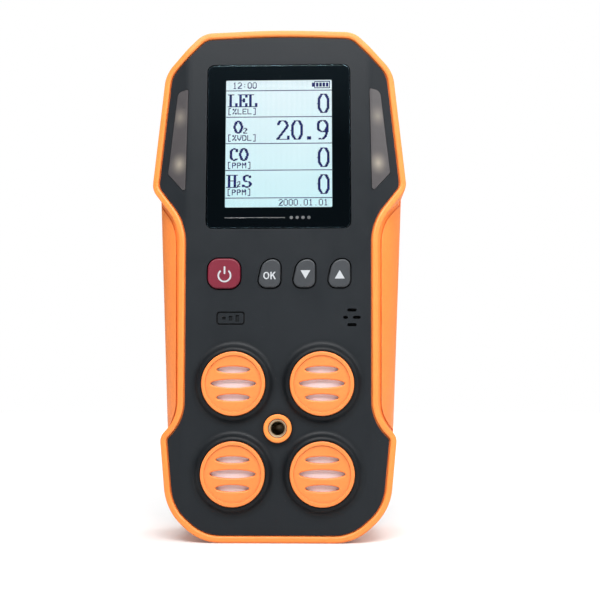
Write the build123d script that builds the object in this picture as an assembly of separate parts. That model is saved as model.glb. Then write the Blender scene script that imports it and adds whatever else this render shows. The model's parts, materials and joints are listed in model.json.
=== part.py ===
"""Portable four-gas detector, built up from its separate pieces.

Millimetres. +Z runs up the instrument from its foot to its crown, +X is to the right of someone
reading the display, and the display faces -Y. The origin is the middle of the bounding box's
underside, so the instrument stands on its foot. Depths are counted from the plane of the front
face towards the back, and FACE_Y turns a depth into a Y coordinate. Heights are counted from a
level a little above the foot, and the export lifts every piece by the same amount.
"""

import math
import os

from build123d import *

os.makedirs("parts", exist_ok=True)

# ---------------------------------------------------------------- driving dimensions
PROUD_DEPTH = -2.0  # front of the sensor caps, the foremost point
CLIP_BACK_DEPTH = 43.0  # back of the clip's thumb end, the rearmost point
FACE_Y = -(PROUD_DEPTH + CLIP_BACK_DEPTH) / 2
FOOT_LEVEL = -0.7  # height of the foot's underside, which the export lifts to z = 0

SPLIT_DEPTH = 16.0  # parting plane of the two housing halves
BACK_DEPTH = 33.0  # plane of the rear panel
FRONT_END = -5.0  # in front of every piece
BACK_END = BACK_DEPTH + 5  # behind the housing
PAST = 1.0  # how far a cut runs past the face it opens
OVERLAP = 0.1  # how far joined shapes reach into each other
RIM = 1.9  # width of the orange rim seen from the front
WALL = 2.0  # housing wall
RIM_PROUD = 0.4  # how far the rim stands in front of the black panels
RIM_GAP = 0.26  # shadow line between rim and panel
RIM_GROOVE = 0.5  # depth of that line
RIM_ROUND = 0.5
GASKET_INSETS = (2.25, 3.05)
GASKET_DEPTHS = (SPLIT_DEPTH, SPLIT_DEPTH + 0.9)
SKIN = RIM + WALL  # outside of the bumper to inside of the housing

FOLD_X = 23.5  # the middle panel is flat this far out, then the wings slope back
FRONT_WING_DEG = 20.0
REAR_WING_DEG = 25.0
FOLD_ROUND = 6.0
FOLD_SAG = 0.15  # the rounded fold leaves the sharp one by less than this
REACH = 40.0  # further out than any part of the body
TOP_Z = 131.0  # higher than any part of the body

# Right half of the rim as seen from the front: x, z and corner radius, from the crown down.
CROWN = (0.0, 130.45, 200.0)
HEAD = [(19.7, 129.65, 6.0), (29.9, 119.55, 8.0), (33.15, 88.6, 4.5)]
WAIST = [(25.5, 78.5, 14.0), (25.1, 29.7, 10.0)]
FOOT = [(29.7, 24.95, 3.0), (27.8, 7.3, 13.0), (18.8, FOOT_LEVEL, 13.0)]
# The side grips fill the waist at mid depth. Their ends are buried in the head and the foot.
GRIP_TOP = (32.65, 89.5)
GRIP_FOOT = (29.5, 22.0)
GRIP_ROOT_X = 15.0
GRIP_RADIUS = 20.0
GRIP_FLAT = 1.8  # straight part of the grip's cross-section, at mid depth
GRIP_MARGIN = 0.1  # how far the rounded cross-section reaches past the flat side
GROOVE_WIDTH = 0.9  # shallow channel between grip and rim
GROOVE_SUNK = 0.3
GROOVE_BACK = 12.0

# End chamfers of the back, seen from the side: depth and z.
REAR_SLOPE_DEPTH = 25.0
REAR_SLOPE_TOP = 8.8
REAR_SLOPE_FOOT = 5.0

# Display
WINDOW_HALF_X = 18.5
WINDOW_Z = (77.6, 120.95)
WINDOW_CORNER = 1.8
WINDOW_GAP = 0.15
WINDOW_DEPTHS = (0.08, 1.2)
MASK_BACK = 1.35
LEDGE_FRONT = 1.6
LEDGE_BACK = 3.0
VIEW_HALF_X = 13.8
VIEW_Z = (83.2, 117.1)
GLASS_HALF_X = 16.0
GLASS_Z = (79.0, 119.6)
GLASS_DEPTHS = (1.75, 3.1)
BACKLIGHT_HALF_X = 17.2
BACKLIGHT_Z = (77.5, 121.0)
BACKLIGHT_BACK = 5.6

# Alarm lenses: corners on the right wing, x and z
LENS_CORNERS = [(23.6, 114.5), (26.4, 114.0), (28.8, 92.4), (24.0, 86.9)]
LENS_CORNER_RADII = [0.3, 1.6, 1.2, 0.5]
LENS_GAP = 0.1
LENS_PROUD = 0.1
LENS_FLANGE = 0.6
LENS_FLANGE_THICK = 0.8
LENS_BACK = 12.0  # deeper than any part of a lens
LED_X = 25.0
LED_Z = (93.9, 106.4)
LED_SIZE = (2.8, 3.5, 1.9)

# Buttons
BUTTON_Z = 65.9
POWER_X = -13.72
POWER_HALF = (4.15, 3.85)
POWER_CORNER = 2.7
KEY_X = {"ok": -2.45, "down": 6.35, "up": 15.2}
KEY_HALF_Z = 3.62
KEY_RIGHT = 3.05
KEY_LEFT_TOP = -1.35
KEY_LEFT_FOOT = -2.95
KEY_CORNERS = [3.0, 1.9, 1.9, 1.9]
BUTTON_PROUD = 0.55
BUTTON_EDGE = 0.45
BUTTON_GAP = 0.32
FLANGE_LIP = 0.85
FLANGE_DEPTHS = (2.1, 2.8)

# Keypad seal and switches
SEAL_HALF_X = 20.3
SEAL_Z = (59.7, 72.3)
SEAL_RIB = 1.0
SEAL_DEPTHS = (2.85, 3.45)
NUB_RADIUS = 1.5
PLUNGER_RADIUS = 1.75
PLUNGER_DEPTHS = (4.6, 6.3)
SWITCH_SIDE = 6.0
SWITCH_FRONT = 5.3
SWITCH_WELL_BACK = 7.2
RUNNING_GAP = 0.1

# Boards
BOARD_FRONT = 8.2
BOARD_THICK = 1.6
BOARD_BACK = BOARD_FRONT + BOARD_THICK
BOARD_HALF_X = 18.0
BOARD_Z = (49.2, 123.0)
BOARD_WING_X = 26.4
BOARD_WING_Z = (90.5, 109.5)

BOARD_PEGS = [(-11.5, 122.3), (11.5, 122.3), (-13.0, 74.9), (13.0, 74.9), (-9.0, 52.0)]
PEG_RADIUS = 1.3
PEG_TIP_RADIUS = 0.7
# Chips on the back of the main board: x and z of the middle, width, height and thickness.
BOARD_CHIPS = [
    (-6.0, 98.0, 9.0, 9.0, 1.0),
    (8.0, 96.0, 6.0, 5.0, 0.9),
    (-9.0, 82.0, 5.0, 4.0, 1.2),
    (7.5, 78.0, 4.0, 4.0, 1.0),
]
LINK_X = 0.0
LINK_HALF = 4.0
FLEX_HALF_X = 6.0
FLEX_THICK = 0.1

# Sensors, on a square grid round the calibration insert
SENSOR_X = 11.0
SENSOR_Z = (38.1, 16.0)
INSERT_Z = sum(SENSOR_Z) / 2
SENSOR_RADIUS = 10.1
SENSOR_DEPTHS = (1.3, 17.8)
SENSOR_PIN_RADIUS = 0.75
SENSOR_PIN_CIRCLE = 6.7
SENSOR_PIN_BACK = 21.2
BOSS_FOOT_RADIUS = 10.95
BOSS_TOP_RADIUS = 8.8
BOSS_FLARE = 1.2  # how much wider the boss is at the panel, before its fillet
BOSS_ROUND = 1.2
BOSS_FILLET = 1.6
BOSS_PROUD = 1.55
CAP_RADIUS = 7.95
CAP_GAP = 0.22
CAP_PROUD = -PROUD_DEPTH
CAP_FLANGE_RADIUS = 9.3
CAP_FLANGE_DEPTHS = (0.45, 1.25)
CAP_DISH_RADIUS = 7.1
CAP_DISH = 0.35
CAP_PLATE_BACK = -0.5
CAP_BORE_RADIUS = 7.5
SLOT_LONG = (5.6, 1.02)
SLOT_SHORT = (4.1, 0.82)
SLOT_PITCH = 3.45
SLOT_ROUND = 0.35
FILTER_RADIUS = 7.4
FILTER_BACK = -0.1
SEAT_RING = (7.4, 6.1)
SENSOR_BOARD_FRONT = 18.6
SENSOR_BOARD_HALF_X = 19.5
SENSOR_BOARD_Z = (5.0, 48.4)

GASES = ("o2", "lel", "co", "h2s")

# Calibration insert
COLLAR_RADIUS = 3.5
COLLAR_BORE = 2.35
COLLAR_DEPTHS = (-1.25, 1.0)
INSERT_RADIUS = 2.3
INSERT_DEPTHS = (-0.9, 8.0)
INSERT_BORE = 1.65
INSERT_FLOOR = 6.6  # depth of the blind end of the bore
INSERT_CHAMFER = 0.4
INSERT_BOSS = (5.0, 9.5)
FIT_GAP = 0.05

# Sounder
GRILLE = (18.6, 54.7)
GRILLE_BARS = [(0.0, 1.85, 2.4), (-1.6, 0.0, 1.2), (1.2, 0.0, 1.95), (0.0, -1.85, 2.4)]  # x, z and length
GRILLE_BAR_WIDTH = 0.8
BUZZER = (16.6, 54.6)
BUZZER_RADIUS = 4.4
BUZZER_DEPTHS = (2.6, BOARD_FRONT)
MESH_DISC = (17.1, 54.6, 4.0)
MESH_DEPTHS = (WALL, 2.3)

# Engraved mark beside the grille: a plain frame round three bars
MARK = (-11.95, 54.55)
MARK_SIZE = (7.2, 3.4)
MARK_LINE = 0.4
MARK_CORNER = 0.85
MARK_DEPTH = 0.35

# Housing screws
SCREW_POINTS = [(21.0, 117.4), (21.0, 75.3), (22.9, 21.8)]
FRONT_BOSS_RADIUS = 2.45
REAR_BOSS_RADIUS = 3.0
SCREW_RADIUS = 1.1
SCREW_HEAD_RADIUS = 2.2
SCREW_HEAD_DEPTHS = (27.0, 28.8)
SCREW_TIP = 7.0
SCREW_SLOT = (0.5, 0.45)

# Power
BATTERY_HALF_X = 17.0
BATTERY_Z = (57.0, 107.0)
BATTERY_DEPTHS = (19.6, 29.9)
TAPE_BACK = 31.0
TAPE_INSET = 3.0
MOTOR_RADIUS = 3.0
MOTOR_POINT = (26.4, 51.8)  # depth and z of its shaft
MOTOR_X = (-8.0, 2.0)
WEIGHT_X = (3.4, 6.8)
WEIGHT_RADIUS = 2.6
SHAFT_RADIUS = 0.4
USB_HALF_X = 4.47
USB_Z = (118.7, 126.0)
USB_THICK = 3.2
PORT_DEPTH = BOARD_BACK + USB_THICK / 2
PORT_HALF_X = 5.2
PORT_HALF_DEPTH = 2.1
PLUG_HALF_X = 7.0
PLUG_HALF_DEPTH = 3.2
PLUG_GAP = 0.15

# Belt clip
PIN_POINT = (37.4, 104.0)  # depth and z of the hinge
PIN_RADIUS = 1.0
PIN_HEAD = (1.7, 0.7)
PIN_HALF = 10.4
BRACKET_HALF_X = 11.0
BRACKET_Z = (97.5, 119.5)
BRACKET_THICK = 1.0
BRACKET_EAR_X = (9.3, 10.3)
ARM_EAR_X = (8.1, 9.1)
EAR_RADIUS = 2.5
ARM_HALF_X = 9.1
ARM_TIP_HALF_X = 7.0
ARM_THICK = 1.1
# Inner face of the arm from the thumb end to the tip: depth and z.
ARM_INNER = [(41.9, 120.5), (39.6, 112.0), (39.5, 98.0), (38.9, 78.0), (33.4, 60.0), (34.6, 56.8)]
CLIP_SCREWS = (7.0, 115.0)
CLIP_SCREW_TIP = 28.5
SPRING_RADIUS = 1.4
SPRING_WIRE = 0.3
SPRING_PITCH = 0.85
SPRING_START_DEG = 194.0
SPRING_TURNS = 5 + (360.0 - SPRING_START_DEG) / 360.0
SPRING_LEGS = (7.0, 3.0)  # the one on the bracket, and the one under the arm, which hides it when open

# Rating label
LABEL_HALF_X = 15.0
LABEL_Z = (27.0, 52.0)
LABEL_THICK = 0.3


# ---------------------------------------------------------------- helpers
def face_plane(depth):
    """Drawing plane at a depth, with x to the right, y up and its normal towards the viewer."""
    return Plane(origin=(0, FACE_Y + depth, 0), x_dir=(1, 0, 0), z_dir=(0, -1, 0))


def slab(sketch, front, back):
    """A sketch in x and z, given thickness from one depth to a deeper one."""
    return extrude(face_plane(back) * sketch, amount=back - front)


def disc(x, z, radius, front, back):
    return slab(Pos(x, z) * Circle(radius), front, back)


def ring(x, z, outer, inner, front, back):
    return disc(x, z, outer, front, back) - disc(x, z, inner, front, back)


def cone(x, z, front_radius, back_radius, front, back):
    solid = Cone(back_radius, front_radius, back - front, align=(Align.CENTER, Align.CENTER, Align.MIN))
    return face_plane(back) * Pos(x, z) * solid


def block(xs, zs, depths):
    """A box between two x values, two z values and two depths."""
    size = (xs[1] - xs[0], depths[1] - depths[0], zs[1] - zs[0])
    centre = (sum(xs) / 2, FACE_Y + sum(depths) / 2, sum(zs) / 2)
    return Pos(*centre) * Box(*size)


def rod(x0, x1, depth, z, radius):
    """A cylinder along X."""
    plane = Plane(origin=(x0, FACE_Y + depth, z), x_dir=(0, 1, 0), z_dir=(1, 0, 0))
    return extrude(plane * Circle(radius), amount=x1 - x0)


def side_profile(points, half_x):
    """A closed outline of (depth, z) points, given width in X."""
    placed = [(0, FACE_Y + depth, z) for depth, z in points]
    return extrude(make_face(Polyline(*placed, close=True)), amount=half_x, both=True, dir=(1, 0, 0))


def both_sides(half):
    """A right-hand solid and its mirror image."""
    return half + mirror(half, Plane.YZ)


def mitre(points, amount):
    """Each corner of a clockwise outline moved inwards by the same distance from both its edges."""
    moved = []
    for i, (x, z) in enumerate(points):
        normals = []
        for (ax, az), (bx, bz) in ((points[i - 1], (x, z)), ((x, z), points[(i + 1) % len(points)])):
            length = math.hypot(bx - ax, bz - az)
            normals.append(((bz - az) / length, (ax - bx) / length))
        (nx, nz), (mx, mz) = normals
        share = amount / (1 + nx * mx + nz * mz)
        moved.append((x + (nx + mx) * share, z + (nz + mz) * share))
    return moved


def turns_right(points, i):
    (ax, az), (bx, bz), (cx, cz) = points[i - 1], points[i], points[(i + 1) % len(points)]
    return (bx - ax) * (cz - bz) - (bz - az) * (cx - bx) < 0


def rounded_outline(corners, inset=0.0):
    """A clockwise outline of (x, z, radius) corners, drawn inset, with its corners kept parallel."""
    points = [(x, z) for x, z, _ in corners]
    radii = []
    for i, (_, _, radius) in enumerate(corners):
        kept = radius - inset if turns_right(points, i) else radius + inset
        radii.append(max(kept, 0.4))
    return make_face(FilletPolyline(*mitre(points, inset), radius=radii, close=True))


def mirrored_corners(right_half, crown=None):
    left_half = [(-x, z, radius) for x, z, radius in reversed(right_half)]
    return ([crown] if crown else []) + right_half + left_half


def window_sketch(half_x, zs, radius):
    """A rounded rectangle about x = 0, between two heights."""
    return Pos(0, sum(zs) / 2) * RectangleRounded(2 * half_x, zs[1] - zs[0], radius)


# ---------------------------------------------------------------- body
def rim_sketch(inset):
    """The outline of the orange rim as seen from the front, shrunk by inset."""
    return rounded_outline(mirrored_corners(HEAD + WAIST + FOOT, CROWN), inset)


def folded(front, back):
    """Everything between the folded front surface and the folded rear surface."""
    run = REACH - FOLD_X
    front_drop = run * math.tan(math.radians(FRONT_WING_DEG))
    rear_rise = run * math.tan(math.radians(REAR_WING_DEG))
    right = [(FOLD_X, front), (REACH, front + front_drop), (REACH, back - rear_rise), (FOLD_X, back)]
    points = right + [(-x, depth) for x, depth in reversed(right)]
    placed = [(x, FACE_Y + depth) for x, depth in points]
    outline = FilletPolyline(*placed, radius=[FOLD_ROUND, 0, 0, FOLD_ROUND] * 2, close=True)
    return extrude(Pos(0, 0, -1) * make_face(outline), amount=TOP_Z + 2)


def sloped_ends(inset):
    """Side view of the body, whose back is chamfered at the crown and the foot."""
    crown = CROWN[1] + 1
    run = 2 * (BACK_DEPTH + RIM_PROUD - REAR_SLOPE_DEPTH)
    points = [
        (-10, FOOT_LEVEL),
        (-10, crown),
        (REAR_SLOPE_DEPTH, crown),
        (REAR_SLOPE_DEPTH + run, crown - 2 * REAR_SLOPE_TOP),
        (REAR_SLOPE_DEPTH + run, FOOT_LEVEL + 2 * REAR_SLOPE_FOOT),
        (REAR_SLOPE_DEPTH, FOOT_LEVEL),
    ]
    return side_profile(mitre(points, inset), REACH)


def right_grip(inset):
    """The bulge on the right of the waist: a rounded cross-section that follows the slanting side."""
    (top_x, top_z), (foot_x, foot_z) = GRIP_TOP, GRIP_FOOT
    right_side = [(top_x, top_z, 1.0), (foot_x, foot_z, 1.0)]
    corners = [(GRIP_ROOT_X, top_z, 0.4)] + right_side + [(GRIP_ROOT_X, foot_z, 0.4)]
    block_of_side = slab(rounded_outline(corners, inset), FRONT_END, BACK_END)
    radius = GRIP_RADIUS - inset
    width = GRIP_FLAT + 2 * radius
    outermost = foot_x + GRIP_MARGIN - inset
    section = RectangleRounded(width, width, radius - 0.01)
    section = Pos(outermost - width / 2, FACE_Y + BACK_DEPTH / 2) * section
    lean = (top_x - foot_x, 0, top_z - foot_z)
    return block_of_side & extrude(Pos(0, 0, foot_z) * section, amount=math.hypot(*lean), dir=lean)


def grip_groove():
    """A narrow channel along the rim, sunk into the front of both grips."""
    band = slab(rim_sketch(-GROOVE_WIDTH) - rim_sketch(0), FRONT_END, GROOVE_BACK)
    waist = block((GRIP_ROOT_X, REACH), (GRIP_FOOT[1], GRIP_TOP[1]), (FRONT_END, GROOVE_BACK))
    return both_sides((band & waist) - right_grip(GROOVE_SUNK))


def body(inset, front, back):
    """The whole outer form, shrunk by inset, between a front and a back depth."""
    middle = slab(rim_sketch(inset), FRONT_END, BACK_END)
    return (middle + both_sides(right_grip(inset))) & folded(front, back) & sloped_ends(inset)


def front_half(shape):
    return shape & block((-REACH, REACH), (-1, TOP_Z), (FRONT_END, SPLIT_DEPTH))


def rear_half(shape):
    return shape & block((-REACH, REACH), (-1, TOP_Z), (SPLIT_DEPTH, BACK_END))


OUTER = body(0, -RIM_PROUD, BACK_DEPTH + RIM_PROUD) - grip_groove()
SHELL = body(RIM, 0, BACK_DEPTH)
CAVITY = body(SKIN, WALL, BACK_DEPTH - WALL)


def on_wing_surface(edge, surface_depth, toward_back):
    """Whether an edge lies on the folded front (or rear) surface that starts at a depth."""
    middle = edge @ 0.5
    degrees = REAR_WING_DEG if toward_back else FRONT_WING_DEG
    drop = max(abs(middle.X) - FOLD_X, 0) * math.tan(math.radians(degrees))
    expected = surface_depth - drop if toward_back else surface_depth + drop
    return abs(middle.Y - FACE_Y - expected) < FOLD_SAG


def front_bumper():
    rim = front_half(OUTER) - SHELL
    in_front = slab(rim_sketch(RIM - RIM_GAP), FRONT_END, SPLIT_DEPTH) - folded(RIM_GROOVE, BACK_DEPTH)
    rim -= in_front
    edges = [edge for edge in rim.edges() if on_wing_surface(edge, -RIM_PROUD, False)]
    return fillet(edges, RIM_ROUND) - port_hole(PLUG_HALF_X, PLUG_HALF_DEPTH, PLUG_GAP)


def rear_bumper():
    rim = rear_half(OUTER) - SHELL
    panel = slab(rim_sketch(RIM - RIM_GAP), SPLIT_DEPTH, BACK_END) & sloped_ends(RIM - RIM_GAP)
    return rim - (panel - folded(FRONT_END, BACK_DEPTH - RIM_GROOVE))


# ---------------------------------------------------------------- housing
def button_sketch(name, grow=0.0):
    """Outline of a button seen from the front, grown all round."""
    if name == "power":
        half_x, half_z = POWER_HALF[0] + grow, POWER_HALF[1] + grow
        return Pos(POWER_X, BUTTON_Z) * RectangleRounded(2 * half_x, 2 * half_z, POWER_CORNER + grow)
    x = KEY_X[name]
    corners = [
        (x + KEY_LEFT_TOP, BUTTON_Z + KEY_HALF_Z, KEY_CORNERS[0]),
        (x + KEY_RIGHT, BUTTON_Z + KEY_HALF_Z, KEY_CORNERS[1]),
        (x + KEY_RIGHT, BUTTON_Z - KEY_HALF_Z, KEY_CORNERS[2]),
        (x + KEY_LEFT_FOOT, BUTTON_Z - KEY_HALF_Z, KEY_CORNERS[3]),
    ]
    return rounded_outline(corners, -grow)


BUTTONS = ["power"] + list(KEY_X)


def button_centre_x(name):
    return POWER_X if name == "power" else KEY_X[name]


def lens_sketch(grow):
    corners = [(x, z, radius) for (x, z), radius in zip(LENS_CORNERS, LENS_CORNER_RADII)]
    return rounded_outline(corners, -grow)


def sensor_points():
    return [(x, z) for z in SENSOR_Z for x in (-SENSOR_X, SENSOR_X)]


def cover_screw_points():
    return [(side * x, z) for x, z in SCREW_POINTS for side in (-1, 1)]


def grille_sketch():
    bars = Sketch()
    for x, z, length in GRILLE_BARS:
        bars += Pos(x, z) * SlotOverall(length, GRILLE_BAR_WIDTH)
    return Pos(*GRILLE) * bars


def mark_sketch():
    """A generic badge: a rounded frame holding three bars."""
    long, high = MARK_SIZE
    inside = RectangleRounded(long - 2 * MARK_LINE, high - 2 * MARK_LINE, MARK_CORNER - MARK_LINE)
    frame = RectangleRounded(long, high, MARK_CORNER) - inside
    bars = Sketch()
    for step, height in ((-1, 0.7), (0, 1.2), (1, 1.7)):
        bars += Pos(step * 1.7, 0) * Rectangle(0.9, height)
    return Pos(*MARK) * (frame + bars)


def port_hole(half_x, half_depth, grow=0.0):
    """A rounded hole through the crown, over the charging socket."""
    width, depth = 2 * (half_x + grow), 2 * (half_depth + grow)
    shape = RectangleRounded(width, depth, min(width, depth) / 2 - 0.2)
    return extrude(Pos(0, FACE_Y + PORT_DEPTH, USB_Z[1] + 0.2) * shape, amount=8)


def sensor_boss(x, z):
    """A raised ring whose side flares into the panel, drawn as a half section and revolved."""
    top, foot = -BOSS_PROUD, 0.05
    flare = BOSS_TOP_RADIUS + BOSS_FLARE
    side = [(BOSS_TOP_RADIUS, top), (flare, 0.0), (BOSS_FOOT_RADIUS, 0.0), (BOSS_FOOT_RADIUS, foot)]
    radii = [0, 0, BOSS_ROUND, BOSS_FILLET, 0, 0]
    section = FilletPolyline((0, foot), (0, top), *side, radius=radii, close=True)
    turned = Plane(origin=(x, FACE_Y, z), x_dir=(1, 0, 0), z_dir=(0, 0, 1)) * make_face(section)
    return revolve(turned, axis=Axis((x, FACE_Y, z), (0, 1, 0)))


def board_posts():
    """Pegs that carry the main board; their thin ends are melted over behind it."""
    posts = Part()
    for x, z in BOARD_PEGS:
        posts += disc(x, z, PEG_RADIUS, WALL - OVERLAP, BOARD_FRONT)
        posts += disc(x, z, PEG_TIP_RADIUS, BOARD_FRONT, BOARD_BACK + 0.8)
    return posts


def front_cover():
    cover = front_half(SHELL) - CAVITY
    ledge = window_sketch(WINDOW_HALF_X + 1.2, (WINDOW_Z[0] - 1.2, WINDOW_Z[1] + 1.2), 2.0)
    cover += slab(ledge, WALL - OVERLAP, LEDGE_BACK)
    for x, z in cover_screw_points():
        boss = disc(x, z, FRONT_BOSS_RADIUS, WALL - OVERLAP, SPLIT_DEPTH)
        cover += boss & SHELL
    for x, z in sensor_points():
        cover += sensor_boss(x, z)
    cover += disc(0, INSERT_Z, INSERT_BOSS[0], WALL - OVERLAP, INSERT_BOSS[1])
    cover += board_posts()
    return cover - front_cover_openings()


def front_cover_openings():
    gap = WINDOW_GAP
    pocket = window_sketch(WINDOW_HALF_X + gap, (WINDOW_Z[0] - gap, WINDOW_Z[1] + gap), WINDOW_CORNER + gap)
    cuts = slab(pocket, -PAST, LEDGE_FRONT)
    glass_room = window_sketch(GLASS_HALF_X + 0.3, (GLASS_Z[0] - 0.3, GLASS_Z[1] + 0.3), 0.5)
    cuts += slab(glass_room, 0, LEDGE_BACK + PAST)
    for name in BUTTONS:
        cuts += slab(button_sketch(name, BUTTON_GAP), -PAST, WALL + PAST)
    lens_hole = slab(lens_sketch(LENS_GAP), FRONT_END, LENS_BACK) - folded(WALL + OVERLAP, BACK_DEPTH)
    flange_room = slab(lens_sketch(LENS_FLANGE + LENS_GAP), FRONT_END, LENS_BACK) & (
        folded(WALL, BACK_DEPTH) - folded(WALL + LENS_FLANGE_THICK + 0.4, BACK_DEPTH)
    )
    cuts += both_sides(lens_hole + flange_room)
    for x, z in sensor_points():
        cuts += disc(x, z, CAP_RADIUS + CAP_GAP, FRONT_END, CAP_FLANGE_DEPTHS[0] + OVERLAP)
        cuts += disc(x, z, CAP_FLANGE_RADIUS + CAP_GAP, CAP_FLANGE_DEPTHS[0], SENSOR_DEPTHS[0] + OVERLAP)
        cuts += disc(x, z, SENSOR_RADIUS + 0.15, SENSOR_DEPTHS[0], WALL + 0.5)
    cuts += disc(0, INSERT_Z, COLLAR_RADIUS + FIT_GAP, FRONT_END, COLLAR_DEPTHS[1])
    cuts += disc(0, INSERT_Z, INSERT_RADIUS + FIT_GAP, 0, INSERT_DEPTHS[1] + OVERLAP)
    cuts += slab(grille_sketch(), -PAST, WALL + PAST)
    cuts += slab(mark_sketch(), -PAST, MARK_DEPTH)
    for x, z in cover_screw_points():
        cuts += disc(x, z, SCREW_RADIUS + FIT_GAP, SCREW_TIP - 0.5, SPLIT_DEPTH + PAST)
    return cuts + port_hole(PORT_HALF_X, PORT_HALF_DEPTH)


def gasket_ring():
    band = body(GASKET_INSETS[0], -1, BACK_DEPTH) - body(GASKET_INSETS[1], -1, BACK_DEPTH)
    return band & block((-REACH, REACH), (-1, TOP_Z), GASKET_DEPTHS)


def motor_cradle():
    depth, z = MOTOR_POINT
    half = MOTOR_RADIUS + 1.2
    arms = block((MOTOR_X[0] + 1, MOTOR_X[1] - 1), (z - half, z + half), (depth, BACK_DEPTH - 1))
    return arms - rod(MOTOR_X[0], MOTOR_X[1], depth, z, MOTOR_RADIUS + FIT_GAP)


def rear_cover(gasket):
    cover = rear_half(SHELL) - CAVITY
    for x, z in cover_screw_points():
        cover += disc(x, z, REAR_BOSS_RADIUS, SPLIT_DEPTH, BACK_DEPTH - 1) & SHELL
    for side in (-1, 1):
        cover += disc(side * CLIP_SCREWS[0], CLIP_SCREWS[1], 2.6, CLIP_SCREW_TIP - 1.0, BACK_DEPTH - 1)
    cover += motor_cradle()
    cuts = gasket
    for x, z in cover_screw_points():
        cuts += disc(x, z, SCREW_RADIUS + 0.15, SPLIT_DEPTH - 1, BACK_DEPTH)
        cuts += disc(x, z, SCREW_HEAD_RADIUS + 0.2, SCREW_HEAD_DEPTHS[0], BACK_END)
    for side in (-1, 1):
        x, z = side * CLIP_SCREWS[0], CLIP_SCREWS[1]
        cuts += disc(x, z, SCREW_RADIUS + FIT_GAP, CLIP_SCREW_TIP, BACK_DEPTH + PAST)
    label = window_sketch(LABEL_HALF_X + 0.15, (LABEL_Z[0] - 0.15, LABEL_Z[1] + 0.15), 1.6)
    cuts += slab(label, BACK_DEPTH - LABEL_THICK, BACK_DEPTH + PAST)
    return cover - cuts


def screw_head(x, z, radius, front, back):
    """A pan head seen from behind, with a cross recess."""
    head = disc(x, z, radius, front, back)
    length, width = 2 * radius * 0.6, SCREW_SLOT[0]
    cross = Pos(x, z) * (Rectangle(length, width) + Rectangle(width, length))
    return fillet(head.edges().group_by(Axis.Y)[-1], 0.3) - slab(cross, back - SCREW_SLOT[1], back + 1)


def housing_screws():
    screws = []
    for x, z in cover_screw_points():
        shank = disc(x, z, SCREW_RADIUS, SCREW_TIP, SCREW_HEAD_DEPTHS[0])
        screws.append(shank + screw_head(x, z, SCREW_HEAD_RADIUS, *SCREW_HEAD_DEPTHS))
    return Compound(screws)


# ---------------------------------------------------------------- display
def display_window():
    sketch = window_sketch(WINDOW_HALF_X, WINDOW_Z, WINDOW_CORNER)
    window = slab(sketch, *WINDOW_DEPTHS)
    return fillet(window.edges().group_by(Axis.Y)[0], 0.2)


def window_mask():
    outline = window_sketch(WINDOW_HALF_X, WINDOW_Z, WINDOW_CORNER)
    view = window_sketch(VIEW_HALF_X, VIEW_Z, 0.3)
    return slab(outline - view, WINDOW_DEPTHS[1], MASK_BACK)


def window_adhesive():
    outline = window_sketch(WINDOW_HALF_X - 0.2, (WINDOW_Z[0] + 0.2, WINDOW_Z[1] - 0.2), WINDOW_CORNER)
    inner = window_sketch(GLASS_HALF_X + 0.5, (GLASS_Z[0] - 0.4, GLASS_Z[1] + 0.4), 0.6)
    return slab(outline - inner, MASK_BACK, LEDGE_FRONT)


def lcd_glass():
    glass = slab(window_sketch(GLASS_HALF_X, GLASS_Z, 0.3), *GLASS_DEPTHS)
    ledge = (GLASS_Z[0] - 1, GLASS_Z[0] + 2.2)
    return glass - block((-GLASS_HALF_X, GLASS_HALF_X), ledge, (0, GLASS_DEPTHS[0] + 0.5))


def lcd_frame():
    """The backlight tray, standing on the main board on four legs."""
    frame = slab(window_sketch(BACKLIGHT_HALF_X, BACKLIGHT_Z, 0.8), GLASS_DEPTHS[1], BACKLIGHT_BACK)
    for side in (-1, 1):
        for z in (BACKLIGHT_Z[0] + 3, BACKLIGHT_Z[1] - 3):
            x = side * (BACKLIGHT_HALF_X - 2.5)
            frame += block((x - 1.5, x + 1.5), (z - 1.5, z + 1.5), (BACKLIGHT_BACK - OVERLAP, BOARD_FRONT))
    return frame


def lcd_flex():
    """The ribbon from the foot of the glass, round the backlight to the main board."""
    thick = FLEX_THICK
    front, back, foot = GLASS_DEPTHS[1] - thick, BOARD_FRONT, BACKLIGHT_Z[0] - 0.1
    tab = GLASS_Z[0]
    points = [
        (front, tab),
        (front + thick, tab),
        (front + thick, foot),
        (back - thick, foot),
        (back - thick, foot + 5),
        (back, foot + 5),
        (back, foot - thick),
        (front, foot - thick),
    ]
    return side_profile(points, FLEX_HALF_X)


# ---------------------------------------------------------------- alarm lights
def alarm_lens():
    """The right-hand lens: a face flush in the wing and a flange behind it."""
    face = slab(lens_sketch(0), FRONT_END, LENS_BACK) & (
        folded(-LENS_PROUD, BACK_DEPTH) - folded(WALL + LENS_FLANGE_THICK, BACK_DEPTH)
    )
    flange = slab(lens_sketch(LENS_FLANGE), FRONT_END, LENS_BACK) & (
        folded(WALL, BACK_DEPTH) - folded(WALL + LENS_FLANGE_THICK, BACK_DEPTH)
    )
    return face + flange


def alarm_leds():
    leds = []
    width, height, depth = LED_SIZE
    for side in (-1, 1):
        for z in LED_Z:
            x = side * LED_X
            sides = (x - width / 2, x + width / 2), (z - height / 2, z + height / 2)
            base = block(*sides, (BOARD_FRONT - depth * 0.6, BOARD_FRONT))
            leds.append(base + disc(x, z, width / 2 - 0.2, BOARD_FRONT - depth, BOARD_FRONT - depth * 0.6))
    return Compound(leds)


# ---------------------------------------------------------------- buttons
def button(name):
    cap = slab(button_sketch(name), -BUTTON_PROUD, FLANGE_DEPTHS[0])
    cap = fillet(cap.edges().group_by(Axis.Y)[0], BUTTON_EDGE)
    return cap + slab(button_sketch(name, FLANGE_LIP), *FLANGE_DEPTHS)


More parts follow.
